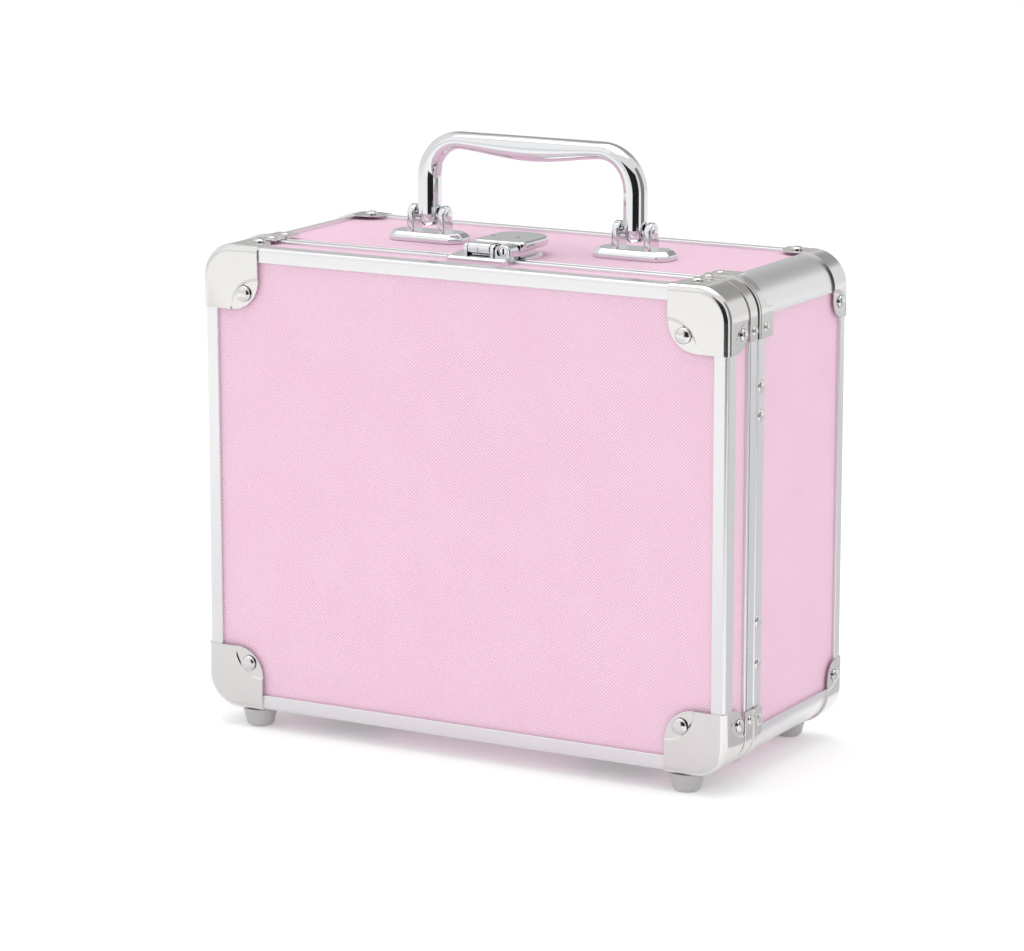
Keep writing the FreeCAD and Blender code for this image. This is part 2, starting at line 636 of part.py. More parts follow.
# ---------------------------------------------------------------- handle, brackets and pins
PANEL_TOP = up("tall - alu")
PLATE_TOP = up("tall - alu + plate_up")
PIVOT_Z = up("tall - alu + plate_up + pivot_up")
HANDLE_Y = front("handle_y")
brackets, pins, studs = [], [], []
for side, sx in SIDES.items():
    middle = f"{sx} * grip_span / 2"
    plate = padded(f"{side}_plate", "XY_Plane", PANEL_TOP, PLATE_TOP, [
        (f"{middle} - plate_long / 2", f"{HANDLE_Y} - plate_wide / 2 + plate_corner"),
        (f"{middle} - plate_long / 2 + plate_corner", f"{HANDLE_Y} - plate_wide / 2"),
        (f"{middle} + plate_long / 2 - plate_corner", f"{HANDLE_Y} - plate_wide / 2"),
        (f"{middle} + plate_long / 2", f"{HANDLE_Y} - plate_wide / 2 + plate_corner"),
        (f"{middle} + plate_long / 2", f"{HANDLE_Y} + plate_wide / 2 - plate_corner"),
        (f"{middle} + plate_long / 2 - plate_corner", f"{HANDLE_Y} + plate_wide / 2"),
        (f"{middle} - plate_long / 2 + plate_corner", f"{HANDLE_Y} + plate_wide / 2"),
        (f"{middle} - plate_long / 2", f"{HANDLE_Y} + plate_wide / 2 - plate_corner"),
    ])
    ears, holes = [], []
    for hand in (-1, 1):
        inner = f"{middle} + {hand} * ear_gap / 2"
        outer = f"{middle} + {hand} * (ear_gap / 2 + ear)"
        x = sorted((inner, outer), key=value_of)
        ears.append(box(f"{side}_ear_{hand + 1}", (x[0], f"{HANDLE_Y} - ear_wide / 2", PLATE_TOP),
                        (x[1], f"{HANDLE_Y} + ear_wide / 2", f"{PLATE_TOP} + ear_tall - ear_wide / 2")))
        ears.append(rod(f"{side}_ear_top_{hand + 1}", "ear_wide / 2", "ear", "+x", x[0],
                        HANDLE_Y, f"{PLATE_TOP} + ear_tall - ear_wide / 2"))
        # A stud comes up from inside the case and ends blind in the plate.
        stud = ("screw", "panel + plate_up - stud_cover", "+z",
                f"{middle} + {hand} * plate_screw", HANDLE_Y, f"{PANEL_TOP} - panel")
        holes.append(rod(f"{side}_plate_hole_{hand + 1}", *stud))
        studs.append(rod(f"{side}_bracket_stud_{hand + 1}", *stud))
    holes.append(rod(f"{side}_pin_hole", "pin + fit", "ear_gap + 2 * ear", "+x",
                     f"{middle} - ear_gap / 2 - ear", HANDLE_Y, PIVOT_Z))
    brackets.append(cut(f"{side}_bracket", fused(f"{side}_bracket_body", [plate] + ears),
                        grouped(f"{side}_bracket_holes", holes)))
    span = "ear_gap + 2 * ear"
    pins.append(fused(f"{side}_pin", [
        rod(f"{side}_pin_shaft", "pin", span, "+x", f"{middle} - ({span}) / 2", HANDLE_Y, PIVOT_Z),
        rod(f"{side}_pin_head", "pin_head", "pin_head_long", "+x", f"{middle} + ({span}) / 2", HANDLE_Y, PIVOT_Z),
        rod(f"{side}_pin_tail", "pin_head", "pin_head_long", "-x", f"{middle} - ({span}) / 2", HANDLE_Y, PIVOT_Z),
    ]))
node(grouped("bracket_pair", brackets), "handle_brackets")
node(grouped("pin_pair", pins), "handle_pins")
node(grouped("bracket_stud_group", studs), "bracket_screws")

BEND_Z = up("tall + grip_top - tube - grip_bend")
LEG_END = up("tall + leg_end")
tubes, bores = [], []
for side, sx in SIDES.items():
    leg_x = f"{sx} * grip_span / 2"
    tubes.append(rod(f"{side}_leg", "tube", f"{BEND_Z} - ({LEG_END}) - tip_long", "+z",
                     leg_x, HANDLE_Y, f"{LEG_END} + tip_long"))
    tip = doc.addObject("Part::Cone", f"{side}_leg_tip")
    tip.setExpression("Radius1", bound("tube - tip_in"))
    tip.setExpression("Radius2", bound("tube"))
    tip.setExpression("Height", bound("tip_long"))
    place(tip, leg_x, HANDLE_Y, LEG_END)
    tubes.append(tip)
    bend = doc.addObject("Part::Torus", f"{side}_bend")
    bend.setExpression("Radius1", bound("grip_bend"))
    bend.setExpression("Radius2", bound("tube"))
    bend.Angle3 = 90
    upright = FreeCAD.Rotation(V(1, 0, 0), 90)
    swing = FreeCAD.Rotation(V(0, 1, 0), -90) if sx < 0 else FreeCAD.Rotation()
    bend.Placement = FreeCAD.Placement(V(), swing * upright)
    place(bend, f"{sx} * (grip_span / 2 - grip_bend)", HANDLE_Y, BEND_Z)
    tubes.append(bend)
    bores.append(rod(f"{side}_leg_bore", "pin + fit", "4 * tube", "+x",
                     f"{leg_x} - 2 * tube", HANDLE_Y, PIVOT_Z))
tubes.append(rod("grip_bar", "tube", "grip_span - 2 * grip_bend", "+x",
                 "grip_bend - grip_span / 2", HANDLE_Y, f"{BEND_Z} + grip_bend"))
node(cut("grip", fused("grip_tube", tubes), grouped("grip_bores", bores)), "handle_grip")

# ---------------------------------------------------------------- latch
TOP = up("tall")
LEVER_Y = front("lever_y")
LEVER_Z = up("tall + lever_up")
plate = box("latch_lid_sheet", ("-latch_left", front("latch_front"), TOP),
            ("latch_right", front("seam_at - seam_gap"), f"{TOP} + latch_sheet"))
pad_under = box("latch_lid_foot", ("-latch_left", front("latch_front"), PANEL_TOP),
                ("latch_right", front("seam_at - seam_gap - top_mouth_lid"), TOP))
ears = []
for i, x in enumerate(("-roll_left - roll_gap - roll_ear", "roll_right + roll_gap")):
    ears.append(box(f"latch_ear_{i}", (x, f"{LEVER_Y} - ear_reach", f"{TOP} + latch_sheet"),
                    (f"{x} + roll_ear", f"{LEVER_Y} + ear_reach", f"{LEVER_Z} + ear_reach")))
housing = box("lock_housing", ("barrel_x - lock_half", front("lock_front"), f"{TOP} + latch_sheet"),
              ("barrel_x + lock_half", front("seam_at - seam_gap"), f"{TOP} + latch_sheet + lock_tall"))
pin_start, pin_long = "-roll_left - roll_gap - roll_ear", "roll_left + roll_right + 2 * (roll_gap + roll_ear)"
pin_hole = rod("lever_pin_hole", "lever_pin", pin_long, "+x", pin_start, LEVER_Y, LEVER_Z)
lock_z = f"{TOP} + latch_sheet + barrel_up"
lock_hole = rod("lock_hole", "barrel + fit", "barrel_long + seam_gap / 2", "+y", "barrel_x",
                front("lock_front"), lock_z)
lid_plate = cut("latch_plate", fused("latch_plate_body", [plate, pad_under, housing] + ears),
                grouped("latch_plate_holes", [pin_hole, lock_hole]))
node(lid_plate, "latch_hinge_plate")
node(rod("lever_pin_rod", "lever_pin", pin_long, "+x", pin_start, LEVER_Y, LEVER_Z), "latch_pin")
plug = rod("lock_plug", "barrel", "barrel_long", "+y", "barrel_x", front("lock_front"), lock_z)
keyway = box("lock_keyway", ("barrel_x - key_wide / 2", front("latch_front"), f"{lock_z} - key_tall / 2"),
             ("barrel_x + key_wide / 2", front("lock_front + key_deep"), f"{lock_z} + key_tall / 2"))
node(cut("lock_barrel", plug, keyway), "lock_cylinder")

# The lever: a knuckle on the pin, a neck over the seam and a pad with a round far end.
knuckle = rod("lever_knuckle", "roll", "roll_left + roll_right", "+x", "-roll_left", LEVER_Y, LEVER_Z)
neck = box("lever_neck", ("-roll_left", LEVER_Y, f"{TOP} + pad_low"),
           ("roll_right", front("pad_start + neck_sheet"), f"{TOP} + pad_low + neck_sheet"))
pad = padded("lever_pad", "XY_Plane", f"{TOP} + pad_low", f"{TOP} + pad_up", [
    ("-pad_left", front("pad_start")),
    ("pad_right", front("pad_start")),
    ("pad_right", front("pad_end")),
    ("-pad_left", front("pad_end")),
])
back = value_of(front("pad_end"))
rounded(pad, "pad_round", lambda p, way: abs(way.z) > 0.9 and abs(p.y - back) < 1e-4)
socket = box("lever_socket", ("-stud - stud_fit", front("stud_y - stud - stud_fit"), f"{TOP} + pad_low"),
             ("stud + stud_fit", front("stud_y + stud + stud_fit"), f"{TOP} + pad_low + socket"))
lever_hole = rod("lever_hole", "lever_pin + fit", "roll_left + roll_right", "+x", "-roll_left", LEVER_Y, LEVER_Z)
lever = cut("lever", fused("lever_body", [knuckle, neck, pad]),
            grouped("lever_cuts", [socket, lever_hole]))
node(lever, "latch_lever")

# The catch on the base: a plate behind the seam with a raised stud that the lever's socket snaps over.
sheet_low = box("catch_foot", ("-latch_wide / 2", front("seam_at + seam_gap + top_mouth_base"), PANEL_TOP),
                ("latch_wide / 2", front("latch_back"), TOP))
sheet_top = box("catch_sheet", ("-latch_wide / 2", front("seam_at + seam_gap"), TOP),
                ("latch_wide / 2", front("latch_back"), f"{TOP} + latch_sheet"))
stud = box("catch_stud", ("-stud", front("stud_y - stud"), f"{TOP} + latch_sheet"),
           ("stud", front("stud_y + stud"), f"{TOP} + pad_low + stud_in"))
node(fused("catch", [sheet_low, sheet_top, stud]), "latch_catch_plate")

# ---------------------------------------------------------------- build, check and write
doc.recompute()
for obj in doc.Objects:
    if "Invalid" in obj.State or "Error" in obj.State:
        raise RuntimeError(f"{obj.Name} failed: {obj.State}")
for obj in nodes:
    if obj.Shape.isNull() or not obj.Shape.isValid() or obj.Shape.Volume <= 0:
        raise RuntimeError(f"{obj.Label} has no valid shape")
os.makedirs("parts", exist_ok=True)
for obj in nodes:
    obj.Shape.exportStep(os.path.join("parts", f"{obj.Label}.step"))
print(len(nodes), "sub-parts written")
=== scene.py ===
import json
import math

import bmesh
import bpy
from mathutils import Matrix, Vector


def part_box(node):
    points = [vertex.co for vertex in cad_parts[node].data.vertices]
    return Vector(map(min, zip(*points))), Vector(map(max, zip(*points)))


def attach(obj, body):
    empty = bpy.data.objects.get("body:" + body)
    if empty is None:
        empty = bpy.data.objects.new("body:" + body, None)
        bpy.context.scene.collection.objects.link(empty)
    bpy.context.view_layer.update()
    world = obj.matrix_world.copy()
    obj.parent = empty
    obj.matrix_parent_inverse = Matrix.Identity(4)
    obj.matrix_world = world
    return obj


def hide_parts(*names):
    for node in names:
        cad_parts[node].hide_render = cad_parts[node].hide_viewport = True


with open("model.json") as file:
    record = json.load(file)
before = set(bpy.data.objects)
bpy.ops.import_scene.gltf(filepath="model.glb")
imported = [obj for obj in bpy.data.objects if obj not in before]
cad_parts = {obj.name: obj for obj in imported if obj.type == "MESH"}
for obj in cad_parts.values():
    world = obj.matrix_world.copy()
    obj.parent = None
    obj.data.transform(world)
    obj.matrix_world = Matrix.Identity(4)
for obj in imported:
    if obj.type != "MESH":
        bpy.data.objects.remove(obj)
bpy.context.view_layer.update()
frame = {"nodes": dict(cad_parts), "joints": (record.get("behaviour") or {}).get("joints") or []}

bl_info = {
    "name": "Makeup Train Case",
    "version": (1, 0, 0),
    "blender": (4, 5, 0),
    "location": "View3D > Sidebar > Train Case",
    "description": "Builds the visible pieces of an aluminium-framed makeup train case on its packed frame",
    "category": "Object",
}

MM = 0.001
X, Y, Z = 0, 1, 2
SLACK = 0.02 * MM       # how near counts as the same place
SPARE = 2 * MM          # how far a cutting tool reaches past its piece
SMOOTH_UP_TO = math.radians(41)

# The case's outer faces and its two mouths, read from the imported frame.
LID_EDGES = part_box("lid_edge_rounds")
BASE_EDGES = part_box("base_edge_rounds")
SIDE = LID_EDGES[1].x
FRONT = LID_EDGES[0].y
BACK = BASE_EDGES[1].y
BOTTOM = LID_EDGES[0].z
TOP = LID_EDGES[1].z
MIDDLE_Z = (TOP + BOTTOM) / 2
LID_MOUTH = LID_EDGES[1].y
BASE_MOUTH = BASE_EDGES[0].y
LEVELS = {"bottom": -1, "top": 1}
SIDES = {"left": -1, "right": 1}


def linear(code):
    """An sRGB hex colour as linear RGBA."""
    channels = [int(code[i:i + 2], 16) / 255 for i in (1, 3, 5)]
    return tuple(c / 12.92 if c <= 0.04045 else ((c + 0.055) / 1.055) ** 2.4 for c in channels) + (1.0,)


# ---------------------------------------------------------------- sizes and colours a user would change
def length(name, description, value):
    return bpy.props.FloatProperty(name=name, description=description, default=value * MM,
                                   min=0.0, unit="LENGTH", precision=5)


def colour(name, description, code):
    return bpy.props.FloatVectorProperty(name=name, description=description, default=linear(code),
                                         size=4, min=0.0, max=1.0, subtype="COLOR")


class TrainCaseSizes(bpy.types.PropertyGroup):
    edge_radius: length("Edge radius", "Radius of the case's long edges", 13.0)
    gauge: length("Aluminium gauge", "Wall of the extruded bars", 1.35)
    steel: length("Steel gauge", "Sheet of the caps and clips", 0.8)
    cap_reach: length("Cap reach", "How far a corner cap runs along each edge", 25.0)
    cap_round: length("Cap inner radius", "Radius of a cap's inner corner", 12.0)
    cap_rim: length("Cap rim radius", "Bend between a cap's face and its skirt", 3.0)
    clip_reach: length("Clip reach", "How far a seam clip runs along each edge", 22.3)
    rivet_in: length("Rivet inset", "Rivets from the case's edges", 18.5)
    tube: length("Handle tube radius", "Radius of the handle's tube", 4.9)
    bend: length("Handle bend radius", "Centre line radius of the handle's bends", 14.5)
    emboss: length("Emboss pitch", "Spacing of the leatherette's crossed ridges", 1.0)


class TrainCaseColours(bpy.types.PropertyGroup):
    pink: colour("Leatherette", "Body of the PVC leatherette", "#f2d3e3")
    # The grooves colour is painted shade: it darkens the floors of the embossed grooves.
    groove: colour("Leatherette grooves", "Floor of the embossed grooves", "#e2b3cb")
    aluminium: colour("Aluminium", "Satin anodised bars", "#e6e6e7")
    nickel: colour("Nickel", "Plated caps, clips and rivets", "#dedddb")
    chrome: colour("Chrome", "Plated handle, brackets and latch", "#dfe0e2")
    plastic: colour("Foot plastic", "Moulded feet", "#b3b1b2")
    foam: colour("Foam", "Lining sheet", "#2b2b2e")


# ---------------------------------------------------------------- modelling helpers
def clear_selection():
    bpy.ops.object.select_all(action="DESELECT")


def choose(*pieces):
    clear_selection()
    for piece in pieces:
        piece.select_set(True)
    bpy.context.view_layer.objects.active = pieces[0]


def settle(piece, name):
    """Name a new piece and put its place into its mesh."""
    piece.name = name
    piece.data.name = name
    choose(piece)
    bpy.ops.object.transform_apply(location=True, rotation=True, scale=True)
    return piece


def block(name, low, high):
    """A box between two corners, the start of most pieces."""
    clear_selection()
    low, high = Vector(low), Vector(high)
    bpy.ops.mesh.primitive_cube_add(size=1, location=(low + high) / 2, scale=high - low)
    return settle(bpy.context.object, name)


class Shaping:
    """Edit mode on one piece, with elements picked by their place and direction."""

    def __init__(self, piece):
        self.piece = piece

    def __enter__(self):
        choose(self.piece)
        bpy.ops.object.mode_set(mode="EDIT")
        return self

    def __exit__(self, *_):
        bpy.ops.object.mode_set(mode="OBJECT")

    def pick(self, kind, test):
        bpy.ops.mesh.select_mode(type=kind)
        bpy.ops.mesh.select_all(action="DESELECT")
        mesh = bmesh.from_edit_mesh(self.piece.data)
        chosen = 0
        for item in mesh.edges if kind == "EDGE" else mesh.faces:
            if test(*facts(kind, item)):
                item.select_set(True)
                chosen += 1
        bmesh.update_edit_mesh(self.piece.data)
        if not chosen:
            raise RuntimeError(f"nothing to pick on {self.piece.name}")

    def bevel(self, test, width, segments):
        self.pick("EDGE", test)
        bpy.ops.mesh.bevel(offset=width, segments=segments, affect="EDGES")


def facts(kind, item):
    """What a pick's test sees: a place, and an edge's or a face's direction."""
    if kind == "EDGE":
        a, b = (v.co for v in item.verts)
        return (a + b) / 2, (b - a).normalized()
    return item.calc_center_median(), item.normal


def near(a, b):
    return abs(a - b) < SLACK


def runs(way, axis):
    """Whether an edge runs along an axis."""
    return abs(way[axis]) > 0.99


def carve(piece, tool):
    """Cut a piece with a tool, and throw the tool away."""
    choose(piece)
    modifier = piece.modifiers.new("Carve", "BOOLEAN")
    modifier.operation = "DIFFERENCE"
    modifier.solver = "EXACT"
    modifier.object = tool
    bpy.ops.object.modifier_apply(modifier=modifier.name)
    bpy.data.objects.remove(tool)
    return piece


def soften(piece, width, degrees=60):
    """Round every edge sharper than an angle."""
    choose(piece)
    round_off = piece.modifiers.new("Soften", "BEVEL")
    round_off.width = width
    round_off.segments = 2
    round_off.limit_method = "ANGLE"
    round_off.angle_limit = math.radians(degrees)
    bpy.ops.object.modifier_apply(modifier=round_off.name)


def joined(name, pieces):
    choose(*pieces)
    if len(pieces) > 1:
        bpy.ops.object.join()
    piece = bpy.context.object
    piece.name = name
    piece.data.name = name
    return piece


def copied(piece, name, place):
    """A copy with its own mesh, moved by a matrix; a mirrored copy is turned right side out."""
    copy = piece.copy()
    copy.data = piece.data.copy()
    copy.name = name
    copy.data.name = name
    bpy.context.scene.collection.objects.link(copy)
    copy.data.transform(place)
    if place.to_3x3().determinant() < 0:
        copy.data.flip_normals()
    return copy


def flipped(sx, sz):
    """The matrix that mirrors about the case's middle planes where a sign is negative."""
    middle = Matrix.Translation((0, 0, MIDDLE_Z))
    return middle @ Matrix.Diagonal((sx, 1, sz, 1)) @ middle.inverted()


def finished(piece, body, slot, *nodes):
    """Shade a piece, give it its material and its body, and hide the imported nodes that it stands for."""
    choose(piece)
    bpy.ops.object.shade_smooth_by_angle(angle=SMOOTH_UP_TO)
    weigh = piece.modifiers.new("Weigh", "WEIGHTED_NORMAL")
    weigh.keep_sharp = True
    bpy.ops.object.modifier_apply(modifier=weigh.name)
    piece.data.materials.clear()
    piece.data.materials.append(SLOT_MATERIALS[slot]())
    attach(piece, body)
    if nodes:
        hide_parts(*nodes)
    return piece


def sizes():
    return bpy.context.scene.train_case_sizes


def colours():
    return bpy.context.scene.train_case_colours


# ---------------------------------------------------------------- materials
def add(tree, kind, inputs=None, **settings):
    """Add one node: its settings, then its inputs, each a number or another node's socket."""
    node = tree.nodes.new(kind)
    for key, value in settings.items():
        setattr(node, key, value)
    for key, value in (inputs or {}).items():
        if isinstance(value, bpy.types.NodeSocket):
            tree.links.new(value, node.inputs[key])
        else:
            node.inputs[key].default_value = value
    return node


def surface(name, **values):
    """A new material with its shader's own sockets set: its tree, its shader and object coordinates."""
    material = bpy.data.materials.new(name)
    material.use_nodes = True
    tree = material.node_tree
    shader = tree.nodes["Principled BSDF"]
    for key, value in values.items():
        shader.inputs[key.replace("_", " ")].default_value = value
    return material, tree, shader, add(tree, "ShaderNodeTexCoord").outputs["Object"]


def wear(tree, shader, sockets):
    """Link the sockets that vary over a surface."""
    for key, socket in sockets.items():
        tree.links.new(socket, shader.inputs[key])


def leatherette():
    """PVC leatherette, calendered and embossed with crossed ridges: a soft sheen and a fine weave, with
    painted shade darkening the grooves.
    """
    name = "pvc_leatherette_embossed"
    if name in bpy.data.materials:
        return bpy.data.materials[name]
    material, tree, shader, place = surface(name, IOR=1.52)
    turns = 2 * math.pi / (sizes().emboss * math.sqrt(2))
    wobble = add(tree, "ShaderNodeTexNoise", {"Vector": place, "Scale": 260.0, "Detail": 2.0})
    shake = add(tree, "ShaderNodeMath", {0: wobble.outputs["Fac"], 1: 1.6}, operation="MULTIPLY").outputs[0]
    ridges = []
    for way in ((1, 1, -1), (1, -1, -1), (1, 1, 1)):
        run = add(tree, "ShaderNodeVectorMath", {0: place, 1: [turns * c for c in way]},
                  operation="DOT_PRODUCT")
        moved = add(tree, "ShaderNodeMath", {0: run.outputs["Value"], 1: shake}, operation="ADD")
        ridges.append(add(tree, "ShaderNodeMath", {0: moved.outputs[0]}, operation="SINE").outputs[0])
    pair = add(tree, "ShaderNodeMath", {0: ridges[0], 1: ridges[1]}, operation="ADD")
    cross = add(tree, "ShaderNodeMath", {0: pair.outputs[0], 1: ridges[2]}, operation="ADD")
    level = add(tree, "ShaderNodeMapRange", {"Value": cross.outputs[0], "From Min": -2.2, "From Max": 2.2})
    patch = add(tree, "ShaderNodeTexNoise", {"Vector": place, "Scale": 45.0, "Detail": 3.0})
    tone = add(tree, "ShaderNodeMapRange", {"Value": patch.outputs["Fac"], "To Min": -0.16, "To Max": 0.16})
    depth = add(tree, "ShaderNodeMath", {0: level.outputs[0], 1: tone.outputs[0]},
                operation="ADD", use_clamp=True)
    # Painted shade: the grooves take the darker groove colour, mixed with a random patchy tone.
    groove_shade_and_tone = add(tree, "ShaderNodeMix", {"Factor": depth.outputs[0], 6: colours().groove, 7: colours().pink},
               data_type="RGBA")
    grit = add(tree, "ShaderNodeTexNoise", {"Vector": place, "Scale": 2600.0, "Detail": 1.0})
    height = add(tree, "ShaderNodeMath", {0: grit.outputs["Fac"], 1: 0.25, 2: level.outputs[0]},
                 operation="MULTIPLY_ADD")
    bump = add(tree, "ShaderNodeBump", {"Height": height.outputs[0], "Strength": 0.6, "Distance": 0.14 * MM})
    gloss = add(tree, "ShaderNodeMapRange", {"Value": level.outputs[0], "To Min": 0.6, "To Max": 0.42})
    wear(tree, shader, {"Base Color": groove_shade_and_tone.outputs[2], "Roughness": gloss.outputs[0],
                        "Normal": bump.outputs[0]})
    return material


def metal(name, base, rough, spread, grain, strength, wave=0.0):
    """A bare or plated metal: fine grain in its gloss, and a slow wave where sheet was pressed."""
    if name in bpy.data.materials:
        return bpy.data.materials[name]
    material, tree, shader, place = surface(name, Base_Color=base, Metallic=1.0)
    fine = add(tree, "ShaderNodeTexNoise", {"Vector": place, "Scale": grain, "Detail": 4.0}).outputs["Fac"]
    gloss = add(tree, "ShaderNodeMapRange", {"Value": fine, "To Min": rough - spread,
                                             "To Max": rough + spread})
    slow = add(tree, "ShaderNodeTexNoise", {"Vector": place, "Scale": 70.0, "Detail": 1.0})
    mixed = add(tree, "ShaderNodeMath", {0: slow.outputs["Fac"], 1: wave, 2: fine}, operation="MULTIPLY_ADD")
    bump = add(tree, "ShaderNodeBump", {"Height": mixed.outputs[0], "Strength": strength,
                                        "Distance": 0.05 * MM})
    wear(tree, shader, {"Roughness": gloss.outputs[0], "Normal": bump.outputs[0]})
    return material


def anodised_aluminium():
    """Extruded aluminium, etched and clear anodised: pale, even and softly shining, with a 0.2 mm grain."""
    return metal("anodised_aluminium_satin", colours().aluminium, 0.3, 0.05, 4500.0, 0.1)


def bright_nickel():
    """Pressed steel, bright nickel plated: a soft mirror that waves a little where the sheet was drawn."""
    return metal("nickel_plated_pressed_steel", colours().nickel, 0.15, 0.04, 2500.0, 0.04, 12.0)


def bright_chrome():
    """Polished and chromium plated: a clean mirror with the faintest haze."""
    return metal("chromium_plate_polished", colours().chrome, 0.07, 0.02, 1800.0, 0.02)


def zinc_steel():
    """Rolled steel, zinc plated: grey, with a light spangle from the rolling and the bath."""
    return metal("zinc_plated_steel", linear("#b9babc"), 0.32, 0.08, 900.0, 0.12)


def moulded_plastic():
    """ABS moulded against a fine spark-eroded tool: an even satin skin."""
    name = "abs_moulded_satin"
    if name in bpy.data.materials:
        return bpy.data.materials[name]
    material, tree, shader, place = surface(name, Base_Color=colours().plastic, IOR=1.54)
    skin = add(tree, "ShaderNodeTexNoise", {"Vector": place, "Scale": 3200.0, "Detail": 2.0}).outputs["Fac"]
    gloss = add(tree, "ShaderNodeMapRange", {"Value": skin, "To Min": 0.32, "To Max": 0.46})
    bump = add(tree, "ShaderNodeBump", {"Height": skin, "Strength": 0.12, "Distance": 0.05 * MM})
    wear(tree, shader, {"Roughness": gloss.outputs[0], "Normal": bump.outputs[0]})
    return material


def eva_foam():
    """Closed-cell EVA sheet: dull and dark, pitted by cut cells about 0.4 mm across, with painted shade
    darkening the pits.
    """
    name = "eva_foam_sheet"
    if name in bpy.data.materials:
        return bpy.data.materials[name]
    material, tree, shader, place = surface(name, Roughness=0.85, IOR=1.48)
    cells = add(tree, "ShaderNodeTexVoronoi", {"Vector": place, "Scale": 2500.0}).outputs["Distance"]
    # Painted shade: each cut cell is darker towards its pit.
    shade = add(tree, "ShaderNodeMix", {"Factor": cells, 6: linear("#1f1f22"), 7: colours().foam},
                data_type="RGBA")
    bump = add(tree, "ShaderNodeBump", {"Height": cells, "Strength": 0.5, "Distance": 0.1 * MM})
    wear(tree, shader, {"Base Color": shade.outputs[2], "Normal": bump.outputs[0]})
    return material


def painted_board():
    """Painted MDF: matt and pale, faintly mottled, and lifted a little so that it stays near white."""
    material, tree, shader, place = surface("painted_board", IOR=1.45, Roughness=0.9,
                                            Emission_Color=linear("#ffffff"), Emission_Strength=0.2)
    mottle = add(tree, "ShaderNodeTexNoise", {"Vector": place, "Scale": 6.0, "Detail": 2.0})
    tone = add(tree, "ShaderNodeMix", {"Factor": mottle.outputs["Fac"], 6: linear("#f6f6f6"),
                                       7: linear("#fbfbfb")}, data_type="RGBA")
    wear(tree, shader, {"Base Color": tone.outputs[2]})
    return material


def felt(name, code):
    """Wool felt: dull, with its nap in small clumps."""
    material, tree, shader, place = surface(name, Roughness=0.95)
    nap = add(tree, "ShaderNodeTexNoise", {"Vector": place, "Scale": 120.0, "Detail": 3.0})
    dark = [c * 0.9 for c in linear(code)[:3]] + [1.0]
    tone = add(tree, "ShaderNodeMix", {"Factor": nap.outputs["Fac"], 6: dark, 7: linear(code)},
               data_type="RGBA")
    wear(tree, shader, {"Base Color": tone.outputs[2]})
    return material


SLOT_MATERIALS = {"satin_aluminium": anodised_aluminium, "nickel_plate": bright_nickel,
                  "chrome_plate": bright_chrome, "foot_plastic": moulded_plastic}


def paint_node(node, material):
    """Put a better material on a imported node's own slots."""
    for slot in frame["nodes"][node].material_slots:
        slot.material = material


# ---------------------------------------------------------------- shared shapes
def heel_block(name, low, high, radius):
    """A block whose upper right long edge is rounded."""
    piece = block(name, low, high)
    with Shaping(piece) as work:
        work.bevel(lambda p, way: runs(way, Y) and near(p.x, high[X]) and near(p.z, high[Z]),
                   radius, 20)
    return piece


def corner_sheet(name, reach, proud, gauge, start, end, radius):
    """A sheet bent round the upper right long edge, its outer face proud of the case by some amount."""
    piece = heel_block(name, (SIDE - reach, start, TOP - reach), (SIDE + proud, end, TOP + proud), radius)
    low = (SIDE - reach - SPARE, start - SPARE, TOP - reach - SPARE)
    high = (SIDE + proud - gauge, end + SPARE, TOP + proud - gauge)
    return carve(piece, heel_block("inner", low, high, radius - gauge))


def angle_bar(name, low, high, heel, gauge, nose, hem):
    """An L-section bar. heel gives, for each axis, the side its outer corner is on, or 0 along its run."""
    bar = block(name, low, high)
    inner_low = [b + gauge if s < 0 else b - SPARE for b, s in zip(low, heel)]
    inner_high = [b - gauge if s > 0 else b + SPARE for b, s in zip(high, heel)]
    carve(bar, block("inner", inner_low, inner_high))
    run = heel.index(0)
    cross = [axis for axis in (X, Y, Z) if axis != run]
    outer = {axis: (high if heel[axis] > 0 else low)[axis] for axis in cross}
    far = {axis: (low if heel[axis] > 0 else high)[axis] for axis in cross}

    def at_heel(p, way):
        return runs(way, run) and all(near(p[axis], outer[axis]) for axis in cross)

    def at_tips(p, way):
        on_edge = any(near(p[a], outer[a]) and near(p[b], far[b]) for a, b in (cross, cross[::-1]))
        return runs(way, run) and on_edge

    with Shaping(bar) as work:
        work.bevel(at_heel, nose, 6)
        work.bevel(at_tips, hem, 3)
    return bar


DOME_FOOT = 0.25 * MM   # how deep a dome stands in its piece


def domed(name, radius, rise):
    """A flat-bottomed dome, standing on the origin: rivet and pin heads."""
    clear_selection()
    bpy.ops.mesh.primitive_uv_sphere_add(segments=24, ring_count=12, radius=radius)
    dome = settle(bpy.context.object, name)
    with Shaping(dome) as work:
        bpy.ops.mesh.select_all(action="SELECT")
        bpy.ops.mesh.bisect(plane_co=(0, 0, 0), plane_no=(0, 0, 1), clear_inner=True, use_fill=True)
        bpy.ops.mesh.select_all(action="SELECT")
        bpy.ops.transform.resize(value=(1, 1, rise / radius), center_override=(0, 0, 0))
        work.pick("FACE", lambda p, way: way.z < -0.9)
        bpy.ops.mesh.extrude_region_move(TRANSFORM_OT_translate={"value": (0, 0, -DOME_FOOT)})
    return dome


def toward(way):
    """A turn that takes +Z to a direction."""
    return Vector((0, 0, 1)).rotation_difference(Vector(way)).to_matrix().to_4x4()


def stand(piece, name, way, place):
    return copied(piece, name, Matrix.Translation(place) @ toward(way))


ACROSS, FORWARD = (0, math.pi / 2, 0), (math.pi / 2, 0, 0)     # turns of a rod


def rod(name, sides, radius, long, middle, turn):
    """A round rod about its middle, turned from upright."""
    clear_selection()
    bpy.ops.mesh.primitive_cylinder_add(vertices=sides, radius=radius, depth=long, location=middle,
                                        rotation=turn)
    return settle(bpy.context.object, name)


